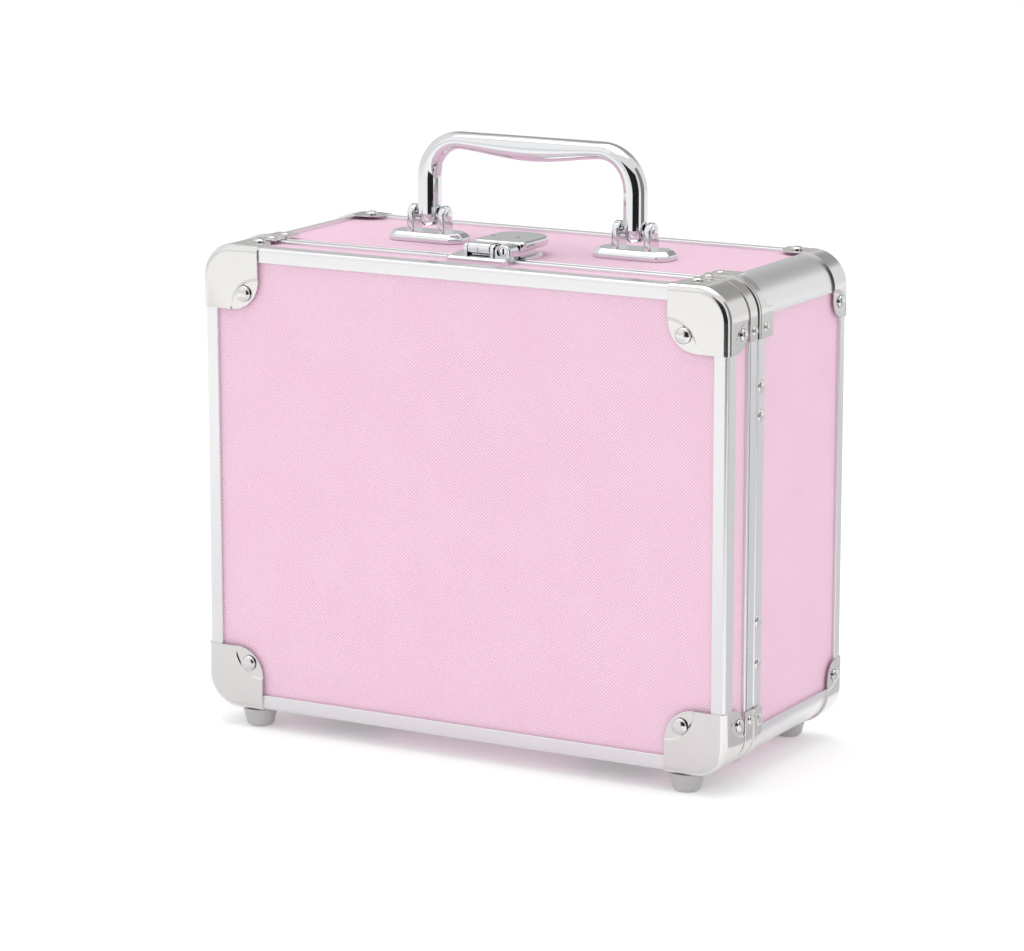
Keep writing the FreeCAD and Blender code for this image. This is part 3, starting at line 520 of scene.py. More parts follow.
def raise_rings(rings, radius, centre, base):
    """Draw the selected disc up through rings, each a height above the base and a radius."""
    at = 0
    for height, wide in rings:
        bpy.ops.mesh.extrude_region_move(TRANSFORM_OT_translate={"value": (0, 0, height - at)})
        bpy.ops.transform.resize(value=(wide / radius, wide / radius, 1),
                                 center_override=(centre[0], centre[1], base + height))
        at, radius = height, wide


def pivot_of(name):
    """Where a packed joint turns."""
    return Vector([joint for joint in frame["joints"] if joint["name"] == name][0]["pos_m"])


# ---------------------------------------------------------------- covers and lining
class TRAINCASE_OT_covers(bpy.types.Operator):
    """Covered boards, lining, hinges and screws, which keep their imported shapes"""
    bl_idname = "traincase.covers"
    bl_label = "Covers and Lining"

    def execute(self, context):
        for node in frame["nodes"]:
            if node.endswith("_wall") or node.endswith("_panel"):
                paint_node(node, leatherette())
            elif node.endswith("_lining"):
                paint_node(node, eva_foam())
            elif node.startswith("hinge_") or node.endswith("_screws"):
                paint_node(node, zinc_steel())
        return {"FINISHED"}


# ---------------------------------------------------------------- aluminium bars
# How far a bar's outer corner and its two free edges are rounded.
BAR_NOSE = {"frame": 1.6 * MM, "mouth": 0.9 * MM}
BAR_HEM = {"frame": 0.45 * MM, "mouth": 0.6 * MM}
BEAD = 1.3 * MM         # a rolled bead along the lid mouth bars, and the groove beside it
BEAD_DEEP = 0.45 * MM
BAR_START = 1 * MM      # bars start where the edge rounds' legs end


class TRAINCASE_OT_bars(bpy.types.Operator):
    """L-section frame bars round both faces and mouth bars round the opening"""
    bl_idname = "traincase.bars"
    bl_label = "Frame and Mouth Bars"

    def execute(self, context):
        for shell, outward in (("lid", -1), ("base", 1)):
            for kind, heel_y in (("frame", outward), ("mouth", -outward)):
                for where, other, heel, mirror in (("right", "left", (1, heel_y, 0), (-1, 1)),
                                                   ("top", "bottom", (0, heel_y, 1), (1, -1))):
                    low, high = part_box(f"{shell}_{where}_{kind}")
                    run = heel.index(0)
                    low[run] += BAR_START
                    high[run] -= BAR_START
                    bar = angle_bar(f"{shell}_{where}_{kind}_bar", low, high, heel, sizes().gauge,
                                    BAR_NOSE[kind], BAR_HEM[kind])
                    if (shell, kind, where) == ("lid", "mouth", "right"):
                        start = low.y + BEAD
                        carve(bar, block("groove", (high.x - BEAD_DEEP, start, low.z - SPARE),
                                         (high.x + SPARE, start + BEAD_DEEP, high.z + SPARE)))
                    twin = copied(bar, f"{shell}_{other}_{kind}_bar", flipped(*mirror))
                    for piece, place in ((bar, where), (twin, other)):
                        finished(piece, shell, "satin_aluminium", f"{shell}_{place}_{kind}")
        return {"FINISHED"}


def four_corners(piece, name):
    """Copies of an upper right piece at all four corners, as one piece."""
    copies = [copied(piece, f"{name}_copy", flipped(sx, sz))
              for sx, sz in ((-1, 1), (1, -1), (-1, -1))]
    return joined(name, [piece] + copies)


class TRAINCASE_OT_edge_rounds(bpy.types.Operator):
    """Quarter-round bars along the case's long edges"""
    bl_idname = "traincase.edge_rounds"
    bl_label = "Edge Rounds"

    def execute(self, context):
        leg = sizes().edge_radius + BAR_START
        for shell, start, end in (("lid", FRONT, LID_MOUTH), ("base", BASE_MOUTH, BACK)):
            name = f"{shell}_edge_round_bars"
            bar = corner_sheet(name, leg, 0, sizes().gauge, start, end, sizes().edge_radius)
            finished(four_corners(bar, name), shell, "satin_aluminium", f"{shell}_edge_rounds")
        return {"FINISHED"}


# ---------------------------------------------------------------- caps, clips and rivets
LOBE_DEPTH, FLANGE_LOBE_DEPTH = 0.6 * MM, 0.36 * MM
LOBE_RADIUS, FLANGE_LOBE_RADIUS = 12.4 * MM, 11.4 * MM
LOBE_SLOPE = 0.8 * MM
# A lobe wall's rings: up as a part of its depth, out as a part of its slope.
LOBE_PROFILE = ((0.08, 0.4), (0.3, 0.75), (0.7, 1.2), (0.92, 1.6), (1.0, 2.0), (2.0, 2.2))
FLANGE_ROUND = 8 * MM   # at the corners of a cap's flanges
CAP_EDGE = 0.2 * MM


def lobe_plug(radius, depth, way, place):
    """A plug that presses a lobe into a face, with walls that ease in and out."""
    start = radius - LOBE_SLOPE
    clear_selection()
    bpy.ops.mesh.primitive_circle_add(vertices=96, radius=start, fill_type="NGON",
                                      location=(0, 0, -depth))
    plug = settle(bpy.context.object, "lobe")
    rings = [(depth * up, start + LOBE_SLOPE * out) for up, out in LOBE_PROFILE]
    with Shaping(plug):
        bpy.ops.mesh.select_all(action="SELECT")
        raise_rings(rings, start, (0, 0), -depth)
        bpy.ops.mesh.select_all(action="SELECT")
        bpy.ops.mesh.normals_make_consistent(inside=False)
    plug.data.transform(Matrix.Translation(place) @ toward(way))
    return plug


def corner_cap(name, node):
    """A pressed cap for an upper right corner, on the lid face or, mirrored, on the back."""
    low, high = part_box(node)
    rear = high.y > 0
    depth = high.y - low.y
    steel, reach = sizes().steel, sizes().cap_reach
    left, right = SIDE - reach, SIDE + steel
    under, over = TOP - reach, TOP + steel
    face, mouth = FRONT - steel, FRONT - steel + depth
    corner = sizes().edge_radius

    def rim(y, x, z):
        def test(p, way):
            outer = near(p.x, x) or near(p.z, z) or (p.x > SIDE - corner and p.z > TOP - corner)
            return near(p.y, y) and outer and abs(way.y) < 0.5
        return test

    cap = heel_block(name, (left, face, under), (right, mouth, over), corner + steel)
    with Shaping(cap) as work:
        work.bevel(lambda p, way: runs(way, Y) and near(p.x, left) and near(p.z, under),
                   sizes().cap_round, 14)
        work.bevel(rim(face, right, over), sizes().cap_rim, 6)
    hollow = heel_block("hollow", (left - SPARE, FRONT, under - SPARE), (SIDE, mouth + SPARE, TOP),
                        corner)
    with Shaping(hollow) as work:
        work.bevel(rim(FRONT, SIDE, TOP), sizes().cap_rim - steel, 6)
    carve(cap, hollow)
    with Shaping(cap) as work:
        work.bevel(lambda p, way: near(p.y, mouth) and (runs(way, X) and near(p.z, under)
                                                        or runs(way, Z) and near(p.x, left)),
                   FLANGE_ROUND, 8)
    # The pressed lobes: a round one about the face rivet, a shallower one about each flange rivet.
    carve(cap, lobe_plug(LOBE_RADIUS, LOBE_DEPTH, (0, -1, 0), (left, face, under)))
    for way, place in (((1, 0, 0), (right, mouth, under)), ((0, 0, 1), (left, mouth, over))):
        carve(cap, lobe_plug(FLANGE_LOBE_RADIUS, FLANGE_LOBE_DEPTH, way, place))
    soften(cap, CAP_EDGE)
    if rear:
        cap.data.transform(Matrix.Diagonal((1, -1, 1, 1)))
        cap.data.flip_normals()
    return cap


class TRAINCASE_OT_caps(bpy.types.Operator):
    """Pressed and plated corner caps, four on the lid and four on the back"""
    bl_idname = "traincase.caps"
    bl_label = "Corner Caps"

    def execute(self, context):
        for shell, stem in (("lid", "lid"), ("base", "rear")):
            cap = corner_cap(f"{stem}_top_right_corner", f"{stem}_top_right_cap")
            for side, sx in SIDES.items():
                for level, sz in LEVELS.items():
                    if (sx, sz) != (1, 1):
                        twin = copied(cap, f"{stem}_{level}_{side}_corner", flipped(sx, sz))
                        finished(twin, shell, "nickel_plate", f"{stem}_{level}_{side}_cap")
            finished(cap, shell, "nickel_plate", f"{stem}_top_right_cap")
        return {"FINISHED"}


TAB_INNER = 10.9 * MM   # a clip tab's nearer edge, from the case's edge
TAB_ROUND = 1.5 * MM
BASE_BAND = 6 * MM      # width of a base clip without its tabs
CLIP_EDGE = 0.36 * MM
BEAD_WIDE, BEAD_PROUD, BEAD_EDGE = 1.3 * MM, 0.5 * MM, 0.3 * MM     # along a clip's seam edge


def seam_clip(shell, level, start, end):
    """A clip bent round the upper right long edge, with a bead along its edge at the seam."""
    reach, steel = sizes().clip_reach, sizes().steel
    outer = sizes().edge_radius + steel
    clip = corner_sheet(f"{shell}_{level}_clip", reach, steel, steel, start, end, outer)
    if end > start + 1.5 * BASE_BAND:
        # Cut away the bend behind the band, so that a flat tab stays on each face.
        carve(clip, block("bite", (SIDE - TAB_INNER, start + BASE_BAND, TOP - TAB_INNER),
                          (SIDE + SPARE, end + SPARE, TOP + SPARE)))
    with Shaping(clip) as work:
        work.bevel(lambda p, way: near(p.y, end) and (runs(way, X) or runs(way, Z))
                   and (near(p.x, SIDE + steel / 2) or near(p.z, TOP + steel / 2)), TAB_ROUND, 4)
    soften(clip, CLIP_EDGE)
    low, high = (end - BEAD_WIDE, end) if shell == "lid" else (start, start + BEAD_WIDE)
    gauge = steel + BEAD_PROUD
    bead = corner_sheet("clip_bead", reach, gauge, gauge, low, high, outer + BEAD_PROUD)
    soften(bead, BEAD_EDGE)
    return joined(f"{shell}_{level}_beaded_clip", [clip, bead])


class TRAINCASE_OT_clips(bpy.types.Operator):
    """Seam clips that meet round each long edge, the upper base ones with riveted tabs"""
    bl_idname = "traincase.clips"
    bl_label = "Seam Clips"

    def execute(self, context):
        for shell in ("lid", "base"):
            low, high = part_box(f"{shell}_seam_clips")
            upper = seam_clip(shell, "top", low.y, high.y)
            model = seam_clip(shell, "bottom", low.y,
                              high.y if shell == "lid" else low.y + BASE_BAND)
            lower = copied(model, f"{shell}_lower_clip", flipped(1, -1))
            bpy.data.objects.remove(model)
            pieces = []
            for clip in (upper, lower):
                pieces += [clip, copied(clip, f"{shell}_clip_twin", flipped(-1, 1))]
            finished(joined(f"{shell}_clips", pieces), shell, "nickel_plate",
                     f"{shell}_seam_clips")
        return {"FINISHED"}


# Each rivet's head radius and rise.
RIVET_HEADS = {"face": (3.25 * MM, 1.5 * MM), "flange": (2.5 * MM, 1.15 * MM),
               "clip": (1.9 * MM, 0.95 * MM), "mouth": (2.6 * MM, 0.95 * MM)}
# Behind the lid face: rivets on the flanges, the clips and the base's mouth bars.
FLANGE_RIVET = {"lid": 11.5 * MM, "base": 97.0 * MM}
CLIP_RIVET = {"lid": 20.6 * MM, "base": 30.6 * MM}
MOUTH_RIVET = 28.1 * MM
# Mouth rivets from the case's top and underside, and the rivet through a lower base clip.
MOUTH_RIVETS_IN = {1: (40.6 * MM, 51.9 * MM), -1: (38.9 * MM, 55.4 * MM)}
LOWER_CLIP_IN = 17.1 * MM


class TRAINCASE_OT_rivets(bpy.types.Operator):
    """Domed rivets through the caps, the clips and the base's mouth bars"""
    bl_idname = "traincase.rivets"
    bl_label = "Rivets"

    def execute(self, context):
        inset, steel = sizes().rivet_in, sizes().steel
        heads = {kind: domed(f"{kind}_rivet_head", *size) for kind, size in RIVET_HEADS.items()}
        for shell in ("lid", "base"):
            face_y, out = (FRONT - steel, -1) if shell == "lid" else (BACK + steel, 1)
            stuck = []
            for sx in SIDES.values():
                for sz in LEVELS.values():
                    x, z = sx * (SIDE - inset), MIDDLE_Z + sz * (TOP - MIDDLE_Z - inset)
                    spots = [("face", (0, out, 0), (x, face_y, z))]
                    for kind, behind in (("flange", FLANGE_RIVET), ("clip", CLIP_RIVET)):
                        y = FRONT + behind[shell]
                        if sz > 0:
                            spots.append((kind, (0, 0, 1), (x, y, TOP + steel)))
                        if sz > 0 or shell == "lid" or kind == "flange":
                            spots.append((kind, (sx, 0, 0), (sx * (SIDE + steel), y, z)))
                    if shell == "base":
                        inward = [(SIDE, far) for far in MOUTH_RIVETS_IN[sz]]
                        if sz < 0:
                            inward.append((SIDE + steel, LOWER_CLIP_IN))
                        for x_out, far in inward:
                            z = MIDDLE_Z + sz * (TOP - MIDDLE_Z - far)
                            spots.append(("mouth", (sx, 0, 0), (sx * x_out, FRONT + MOUTH_RIVET, z)))
                    stuck += [stand(heads[kind], "rivet", way, spot) for kind, way, spot in spots]
            finished(joined(f"{shell}_rivet_heads", stuck), shell, "nickel_plate",
                     f"{shell}_rivets")
        for head in heads.values():
            bpy.data.objects.remove(head)
        return {"FINISHED"}


# ---------------------------------------------------------------- feet
FOOT_RADII = (5.2 * MM, 7.0 * MM)       # at the floor and at the case
FOOT_ROUNDS = (1.6 * MM, 0.5 * MM)
FOOT_SINK, FOOT_SINK_DEEP = 2.9 * MM, 2.4 * MM      # the screw's recess


class TRAINCASE_OT_feet(bpy.types.Operator):
    """Moulded feet, tapered to the floor, each with a sunk screw"""
    bl_idname = "traincase.feet"
    bl_label = "Feet"

    def execute(self, context):
        for shell in ("lid", "base"):
            low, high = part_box(f"{shell}_feet")
            x, y = high.x - FOOT_RADII[1], (low.y + high.y) / 2
            clear_selection()
            bpy.ops.mesh.primitive_cone_add(vertices=48, radius1=FOOT_RADII[0], radius2=FOOT_RADII[1],
                                            depth=high.z - low.z, location=(x, y, (high.z + low.z) / 2))
            foot = settle(bpy.context.object, f"{shell}_foot_pair")
            with Shaping(foot) as work:
                work.bevel(lambda p, way: near(p.z, low.z), FOOT_ROUNDS[0], 6)
                work.bevel(lambda p, way: near(p.z, high.z), FOOT_ROUNDS[1], 3)
                work.pick("FACE", lambda p, way: way.z < -0.99)
                bpy.ops.mesh.inset(thickness=FOOT_RADII[0] - FOOT_ROUNDS[0] - FOOT_SINK, depth=0)
                bpy.ops.mesh.extrude_region_move(TRANSFORM_OT_translate={"value": (0, 0, FOOT_SINK_DEEP)})
            twin = copied(foot, "foot_copy", flipped(-1, 1))
            finished(joined(f"{shell}_foot_pair", [foot, twin]), shell, "foot_plastic",
                     f"{shell}_feet")
        return {"FINISHED"}


# ---------------------------------------------------------------- handle and its brackets
LEG_TIP = 2.8 * MM      # flat at a leg's end
TIP_RINGS = ((1.2 * MM, 3.7 * MM), (1.7 * MM, 3.85 * MM), (4.3 * MM, 3.9 * MM))
TIP_LONG = 4.7 * MM
GRIP_THIN = 7.2 * MM    # height of the grip just past its bends
GRIP_FULL = 10.0 * MM   # and at its middle
BEND_STEPS, GRIP_STEPS = 20, 16
MERGE, WELD = 0.01 * MM, 0.005 * MM


def handle_tube():
    """Half a bail handle, swept from its leg's end round a bend to the middle, then mirrored."""
    low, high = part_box("handle_grip")
    tube, bend = sizes().tube, sizes().bend
    leg_x, y = high.x - tube, (low.y + high.y) / 2
    bend_z = high.z - tube - bend
    clear_selection()
    bpy.ops.mesh.primitive_circle_add(vertices=40, radius=LEG_TIP, fill_type="NGON",
                                      location=(leg_x, y, low.z))
    half = settle(bpy.context.object, "handle_bail")
    straight = leg_x - bend
    centre = (straight, y, bend_z)
    rings = TIP_RINGS + ((TIP_LONG, tube), (bend_z - low.z, tube))
    with Shaping(half):
        bpy.ops.mesh.select_all(action="SELECT")
        raise_rings(rings, LEG_TIP, (leg_x, y), low.z)
        bpy.ops.mesh.delete(type="ONLY_FACE")
    with Shaping(half) as work:
        work.pick("EDGE", lambda p, way: near(p.z, bend_z))
        bpy.ops.mesh.spin(steps=BEND_STEPS, angle=math.radians(90), center=centre, axis=(0, 1, 0))
    with Shaping(half) as work:
        work.pick("EDGE", lambda p, way: near(p.x, straight) and abs(way.x) < 0.1
                  and p.z > bend_z + bend - 2 * tube)
        for _ in range(GRIP_STEPS):
            bpy.ops.mesh.extrude_region_move(
                TRANSFORM_OT_translate={"value": (-straight / GRIP_STEPS, 0, 0)})
    for vertex in half.data.vertices:
        shape_grip(vertex.co, centre, high.z)
    choose(half)
    mirror = half.modifiers.new("Mirror", "MIRROR")
    mirror.merge_threshold = MERGE
    bpy.ops.object.modifier_apply(modifier=mirror.name)
    with Shaping(half):
        bpy.ops.mesh.select_all(action="SELECT")
        bpy.ops.mesh.remove_doubles(threshold=WELD)
        bpy.ops.mesh.normals_make_consistent(inside=False)
    return half


def shape_grip(place, centre, top):
    """Thin the tube round its bend, and swell the grip's underside towards the middle."""
    tube, bend = sizes().tube, sizes().bend
    if place.x <= centre[0]:
        run = max(0.0, 1 - place.x / centre[0])
        swell = math.sin(run * math.pi / 2) ** 1.5
        height = GRIP_THIN + (GRIP_FULL - GRIP_THIN) * swell
        place.z = top - (top - place.z) * height / (2 * tube)
    elif place.z > centre[2]:
        away = Vector((place.x - centre[0], 0, place.z - centre[2]))
        turn = math.atan2(away.z, away.x) / (math.pi / 2)
        height = 2 * tube + (GRIP_THIN - 2 * tube) * (3 * turn ** 2 - 2 * turn ** 3)
        outer = bend + tube
        reach = outer - (outer - away.length) * height / (2 * tube)
        away.normalize()
        place.x, place.z = centre[0] + away.x * reach, centre[2] + away.z * reach


# A bracket's plate: its size, height, cut corners, sloped edges and rounding.
PLATE_SIZE, PLATE_UP, PLATE_CUT = (33.6 * MM, 15 * MM), 3.9 * MM, 4 * MM
PLATE_SLOPE, PLATE_EDGE = 1.9 * MM, 0.5 * MM
# Its ears: sheet and width, the gap between them, their rounding and how deep they stand in the plate.
EAR_SIZE, EAR_GAP, EAR_EDGE, EAR_FOOT = (3.2 * MM, 8 * MM), 10.8 * MM, 0.9 * MM, 0.5 * MM
EAR_TOP = EAR_SIZE[1] / 2 - 0.01 * MM
PIN_RADIUS = 1.5 * MM
PIN_HEAD = (2.4 * MM, 0.8 * MM)     # radius and rise


def bracket():
    """One handle bracket: a plate with cut corners and sloped edges, and two round-topped ears."""
    low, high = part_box("handle_brackets")
    middle = Vector((high.x - PLATE_SIZE[0] / 2, (low.y + high.y) / 2, low.z))
    half = Vector((PLATE_SIZE[0] / 2, PLATE_SIZE[1] / 2, 0))
    deck = low.z + PLATE_UP
    plate = block("bracket_plate", middle - half, middle + half + Vector((0, 0, PLATE_UP)))
    with Shaping(plate) as work:
        work.bevel(lambda p, way: runs(way, Z), PLATE_CUT, 1)
        work.bevel(lambda p, way: near(p.z, deck), PLATE_SLOPE, 1)
    soften(plate, PLATE_EDGE, 25)
    ears = []
    for hand in (-1, 1):
        inner = middle.x + hand * EAR_GAP / 2
        outer = inner + hand * EAR_SIZE[0]
        ear = block("bracket_ear", (min(inner, outer), middle.y - EAR_SIZE[1] / 2, deck - EAR_FOOT),
                    (max(inner, outer), middle.y + EAR_SIZE[1] / 2, high.z))
        with Shaping(ear) as work:
            work.bevel(lambda p, way: runs(way, X) and near(p.z, high.z), EAR_TOP, 10)
            work.bevel(lambda p, way: abs(way.x) < 0.5 and p.z > deck
                       and (near(p.x, inner) or near(p.x, outer)), EAR_EDGE, 3)
        ears.append(ear)
    return joined("bracket_half", [plate] + ears), middle.x


class TRAINCASE_OT_handle(bpy.types.Operator):
    """Chromed bail handle, swollen under the grip, on its two brackets and pins"""
    bl_idname = "traincase.handle"
    bl_label = "Handle and Brackets"

    def execute(self, context):
        finished(handle_tube(), "handle", "chrome_plate", "handle_grip")
        piece, x = bracket()
        twin = copied(piece, "bracket_twin", flipped(-1, 1))
        finished(joined("handle_bracket_pair", [piece, twin]), "base", "chrome_plate",
                 "handle_brackets")
        head = domed("pin_head", *PIN_HEAD)
        pivot = pivot_of("handle_fold")
        reach = EAR_GAP / 2 + EAR_SIZE[0]
        pins = []
        for sx in SIDES.values():
            pins.append(rod("pin_shaft", 24, PIN_RADIUS, 2 * reach, (sx * x, pivot.y, pivot.z), ACROSS))
            for hand in (-1, 1):
                spot = (sx * x + hand * reach, pivot.y, pivot.z)
                pins.append(stand(head, "pin_end", (hand, 0, 0), spot))
        finished(joined("handle_pin_pair", pins), "base", "chrome_plate", "handle_pins")
        bpy.data.objects.remove(head)
        return {"FINISHED"}


# ---------------------------------------------------------------- latch
# The plates: sheet, bevel and rounding, cut corners, and how far each underside is stepped over its bar.
PLATE_SHEET, PLATE_BEVEL, PLATE_SOFT = 1.2 * MM, 0.8 * MM, 0.12 * MM
HINGE_CORNER, CATCH_CORNER = 1.8 * MM, 3 * MM
HINGE_LAP, CATCH_LAP = 4.4 * MM, 2 * MM
SEAM_CLEAR = 1 * MM     # plate edges nearer the seam than this stay square
FOOTING = 0.6 * MM      # height above the case at which the pieces on a plate start
# The lever: its pad's start, underside and top, its roundings, and the two small dimples in it.
PAD_START, PAD_LOW, PAD_TOP = 26 * MM, 2.8 * MM, 6.4 * MM
PAD_ROUND, PAD_HEEL, PAD_EDGE, PAD_HEM = 9 * MM, 2.2 * MM, 1.3 * MM, 0.9 * MM
SOCKET_FIT, SOCKET_DEEP = 0.4 * MM, 1.2 * MM
DIMPLES, DIMPLE_HALF, DIMPLE_DEEP = (-5.6 * MM, 5.7 * MM), 0.9 * MM, 0.35 * MM
DIMPLE_NEAR, DIMPLE_FAR = 36.9 * MM, 37.9 * MM
ROLL, ROLL_EDGE = 2.2 * MM, 0.25 * MM       # the lever's knuckle
ROLL_SPAN = (-7 * MM, 2.6 * MM)
SLOT_SPAN, SLOT_NEAR, SLOT_UP = (-2.8 * MM, -2.3 * MM), 1.2 * MM, 0.6 * MM
NECK_LAP, NECK_EDGE = 1.5 * MM, 0.3 * MM
# The ears round the lever's pin: gap and sheet, half-width and height over the pin, roundings.
EAR_GAP_WIDE, EAR_SHEET, EAR_HALF, EAR_UP = 0.2 * MM, 1.6 * MM, 2 * MM, 1.9 * MM
EAR_ROUND, EAR_SOFT = 1.6 * MM, 0.2 * MM
LOCK_HALF, LOCK_NEAR, LOCK_FAR, LOCK_TOP = 3.5 * MM, 18 * MM, 24.6 * MM, 6.0 * MM
LOCK_ROUND, LOCK_EDGE = 2.6 * MM, 0.6 * MM
# The lock's mouth and bore, each a radius and a depth, then its plug's edge and its keyway.
MOUTH, BORE = (2.5 * MM, 0.9 * MM), (1.8 * MM, 6.2 * MM)
PLUG_EDGE = 0.25 * MM
KEYWAY = (0.4 * MM, 3 * MM, 1.2 * MM)
STUD_HALF, STUD_MIDDLE, STUD_TOP = 4 * MM, 36 * MM, 3.6 * MM
STUD_ROUND, STUD_EDGE = 1.2 * MM, 0.6 * MM


def latch_block(name, x0, x1, near_d, far_d, low, top):
    """A block by its x, its distances behind the lid face and its heights above the case."""
    return block(name, (x0, FRONT + near_d, TOP + low), (x1, FRONT + far_d, TOP + top))


def lock_rod(name, radius, start, end, x, z):
    """A rod that points out of the lock's front."""
    return rod(name, 40, radius, end - start, (x, (start + end) / 2, z), FORWARD)


def latch_sheet(name, low, high, outer, seam, corner):
    """A latch plate: cut corners at its outer edge, and bevelled round its top away from the seam."""
    top = TOP + PLATE_SHEET
    plate = block(name, low, (high.x, high.y, top))
    with Shaping(plate) as work:
        work.bevel(lambda p, way: runs(way, Z) and near(p.y, outer), corner, 1)
        work.bevel(lambda p, way: near(p.z, top) and abs(p.y - seam) > SEAM_CLEAR, PLATE_BEVEL, 1)
        work.bevel(lambda p, way: near(p.z, top) or near(p.z, top - PLATE_BEVEL), PLATE_SOFT, 2)
    return plate


def hinge_plate():
    """The lid's plate over its mouth bar, two ears round the lever's pin, and the lock's housing."""
    low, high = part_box("latch_hinge_plate")
    pivot, lock = pivot_of("latch_flip"), pivot_of("lock_turn")
    plate = latch_sheet("hinge_sheet", low, high, low.y, high.y, HINGE_CORNER)
    parts = [carve(plate, block("bar_notch", (low.x - SPARE, LID_MOUTH - HINGE_LAP, low.z - SPARE),
                                (high.x + SPARE, high.y + SPARE, TOP)))]
    for x in (ROLL_SPAN[0] - EAR_GAP_WIDE - EAR_SHEET, ROLL_SPAN[1] + EAR_GAP_WIDE):
        top = pivot.z + EAR_UP
        ear = block("knuckle_ear", (x, pivot.y - EAR_HALF, TOP + FOOTING),
                    (x + EAR_SHEET, pivot.y + EAR_HALF, top))
        with Shaping(ear) as work:
            work.bevel(lambda p, way: runs(way, X) and near(p.z, top), EAR_ROUND, 6)
        soften(ear, EAR_SOFT)
        parts.append(ear)
    housing = latch_block("lock_housing", lock.x - LOCK_HALF, lock.x + LOCK_HALF, LOCK_NEAR, LOCK_FAR,
                          FOOTING, LOCK_TOP)
    with Shaping(housing) as work:
        work.bevel(lambda p, way: near(p.z, TOP + LOCK_TOP) and runs(way, Y), LOCK_ROUND, 8)
        work.bevel(lambda p, way: near(p.y, FRONT + LOCK_NEAR) and p.z > TOP + 1 * MM
                   and abs(way.y) < 0.1, LOCK_EDGE, 3)
    for name, (radius, deep) in (("lock_mouth", MOUTH), ("lock_bore", BORE)):
        carve(housing, lock_rod(name, radius, lock.y - SPARE, lock.y + deep, lock.x, lock.z))
    return joined("latch_plate_and_housing", parts + [housing])


def lock_plug():
    """The lock's plug, set back in its mouth, with a keyway."""
    low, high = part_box("lock_cylinder")
    x, z = (low.x + high.x) / 2, (low.z + high.z) / 2
    start = low.y + MOUTH[1]
    plug = lock_rod("lock_plug", (high.x - low.x) / 2, start, high.y, x, z)
    with Shaping(plug) as work:
        work.bevel(lambda p, way: near(p.y, start), PLUG_EDGE, 2)
    half, deep, tall = KEYWAY
    return carve(plug, block("keyway", (x - half, start - SPARE, z - tall),
                             (x + half, start + deep, z + tall)))


def latch_lever():
    """The lever: a squared knuckle on the pin, a neck and a smooth D-shaped pad over the lock."""
    low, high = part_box("latch_lever")
    pivot = pivot_of("latch_flip")
    near_y, far_y, under, over = FRONT + PAD_START, high.y, TOP + PAD_LOW, TOP + PAD_TOP
    pad = block("lever_pad", (low.x, near_y, under), (high.x, far_y, over))
    with Shaping(pad) as work:
        work.bevel(lambda p, way: runs(way, Z) and near(p.y, far_y), PAD_ROUND, 16)
        work.bevel(lambda p, way: runs(way, Z) and near(p.y, near_y), PAD_HEEL, 5)
        work.bevel(lambda p, way: near(p.z, over), PAD_EDGE, 5)
        work.bevel(lambda p, way: near(p.z, under), PAD_HEM, 3)
    fit = SOCKET_FIT + STUD_HALF
    carve(pad, latch_block("socket", -fit, fit, STUD_MIDDLE - fit, STUD_MIDDLE + fit,
                           PAD_LOW - SPARE, PAD_LOW + SOCKET_DEEP))
    for x in DIMPLES:
        carve(pad, latch_block("dimple", x - DIMPLE_HALF, x + DIMPLE_HALF, DIMPLE_NEAR, DIMPLE_FAR,
                               PAD_TOP - DIMPLE_DEEP, PAD_TOP + SPARE))
    left, right = ROLL_SPAN
    roll = rod("lever_roll", 32, ROLL, right - left, ((left + right) / 2, pivot.y, pivot.z), ACROSS)
    with Shaping(roll) as work:
        work.bevel(lambda p, way: abs(way.x) < 0.5, ROLL_EDGE, 2)
    neck = block("lever_neck", (left, pivot.y, under), (right, near_y + NECK_LAP, pivot.z + ROLL))
    soften(neck, NECK_EDGE)
    reach = ROLL + SPARE
    carve(roll, block("roll_slot", (SLOT_SPAN[0], pivot.y - reach, pivot.z - reach),
                      (SLOT_SPAN[1], pivot.y - SLOT_NEAR, pivot.z + SLOT_UP)))
    return joined("latch_lever_pad", [pad, neck, roll])


def catch_plate():
    """The catch plate on the base, with the stud that the lever snaps over."""
    low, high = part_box("latch_catch_plate")
    plate = latch_sheet("catch_sheet", low, high, high.y, low.y, CATCH_CORNER)
    carve(plate, block("bar_notch", (low.x - SPARE, low.y - SPARE, low.z - SPARE),
                       (high.x + SPARE, BASE_MOUTH + CATCH_LAP, TOP)))
    stud = latch_block("catch_stud", -STUD_HALF, STUD_HALF, STUD_MIDDLE - STUD_HALF,
                       STUD_MIDDLE + STUD_HALF, FOOTING, STUD_TOP)
    with Shaping(stud) as work:
        work.bevel(lambda p, way: runs(way, Z), STUD_ROUND, 4)
        work.bevel(lambda p, way: near(p.z, TOP + STUD_TOP), STUD_EDGE, 3)
    return joined("latch_catch", [plate, stud])


class TRAINCASE_OT_latch(bpy.types.Operator):
    """Plated latch: hinge plate with its lock, D-shaped lever and catch plate"""
    bl_idname = "traincase.latch"
    bl_label = "Latch and Lock"

    def execute(self, context):
        for make, body, node in ((hinge_plate, "lid", "latch_hinge_plate"),
                                 (lock_plug, "lock", "lock_cylinder"),
                                 (latch_lever, "latch_lever", "latch_lever"),
                                 (catch_plate, "base", "latch_catch_plate")):
            finished(make(), body, "chrome_plate", node)
        paint_node("latch_pin", zinc_steel())
        return {"FINISHED"}


# ---------------------------------------------------------------- stage
CAMERA_AT = (0.77507, -1.39424, 0.44320)
CAMERA_WAY = (-0.4776, 0.8535, -0.2081)
CAMERA_LENS = 145.1
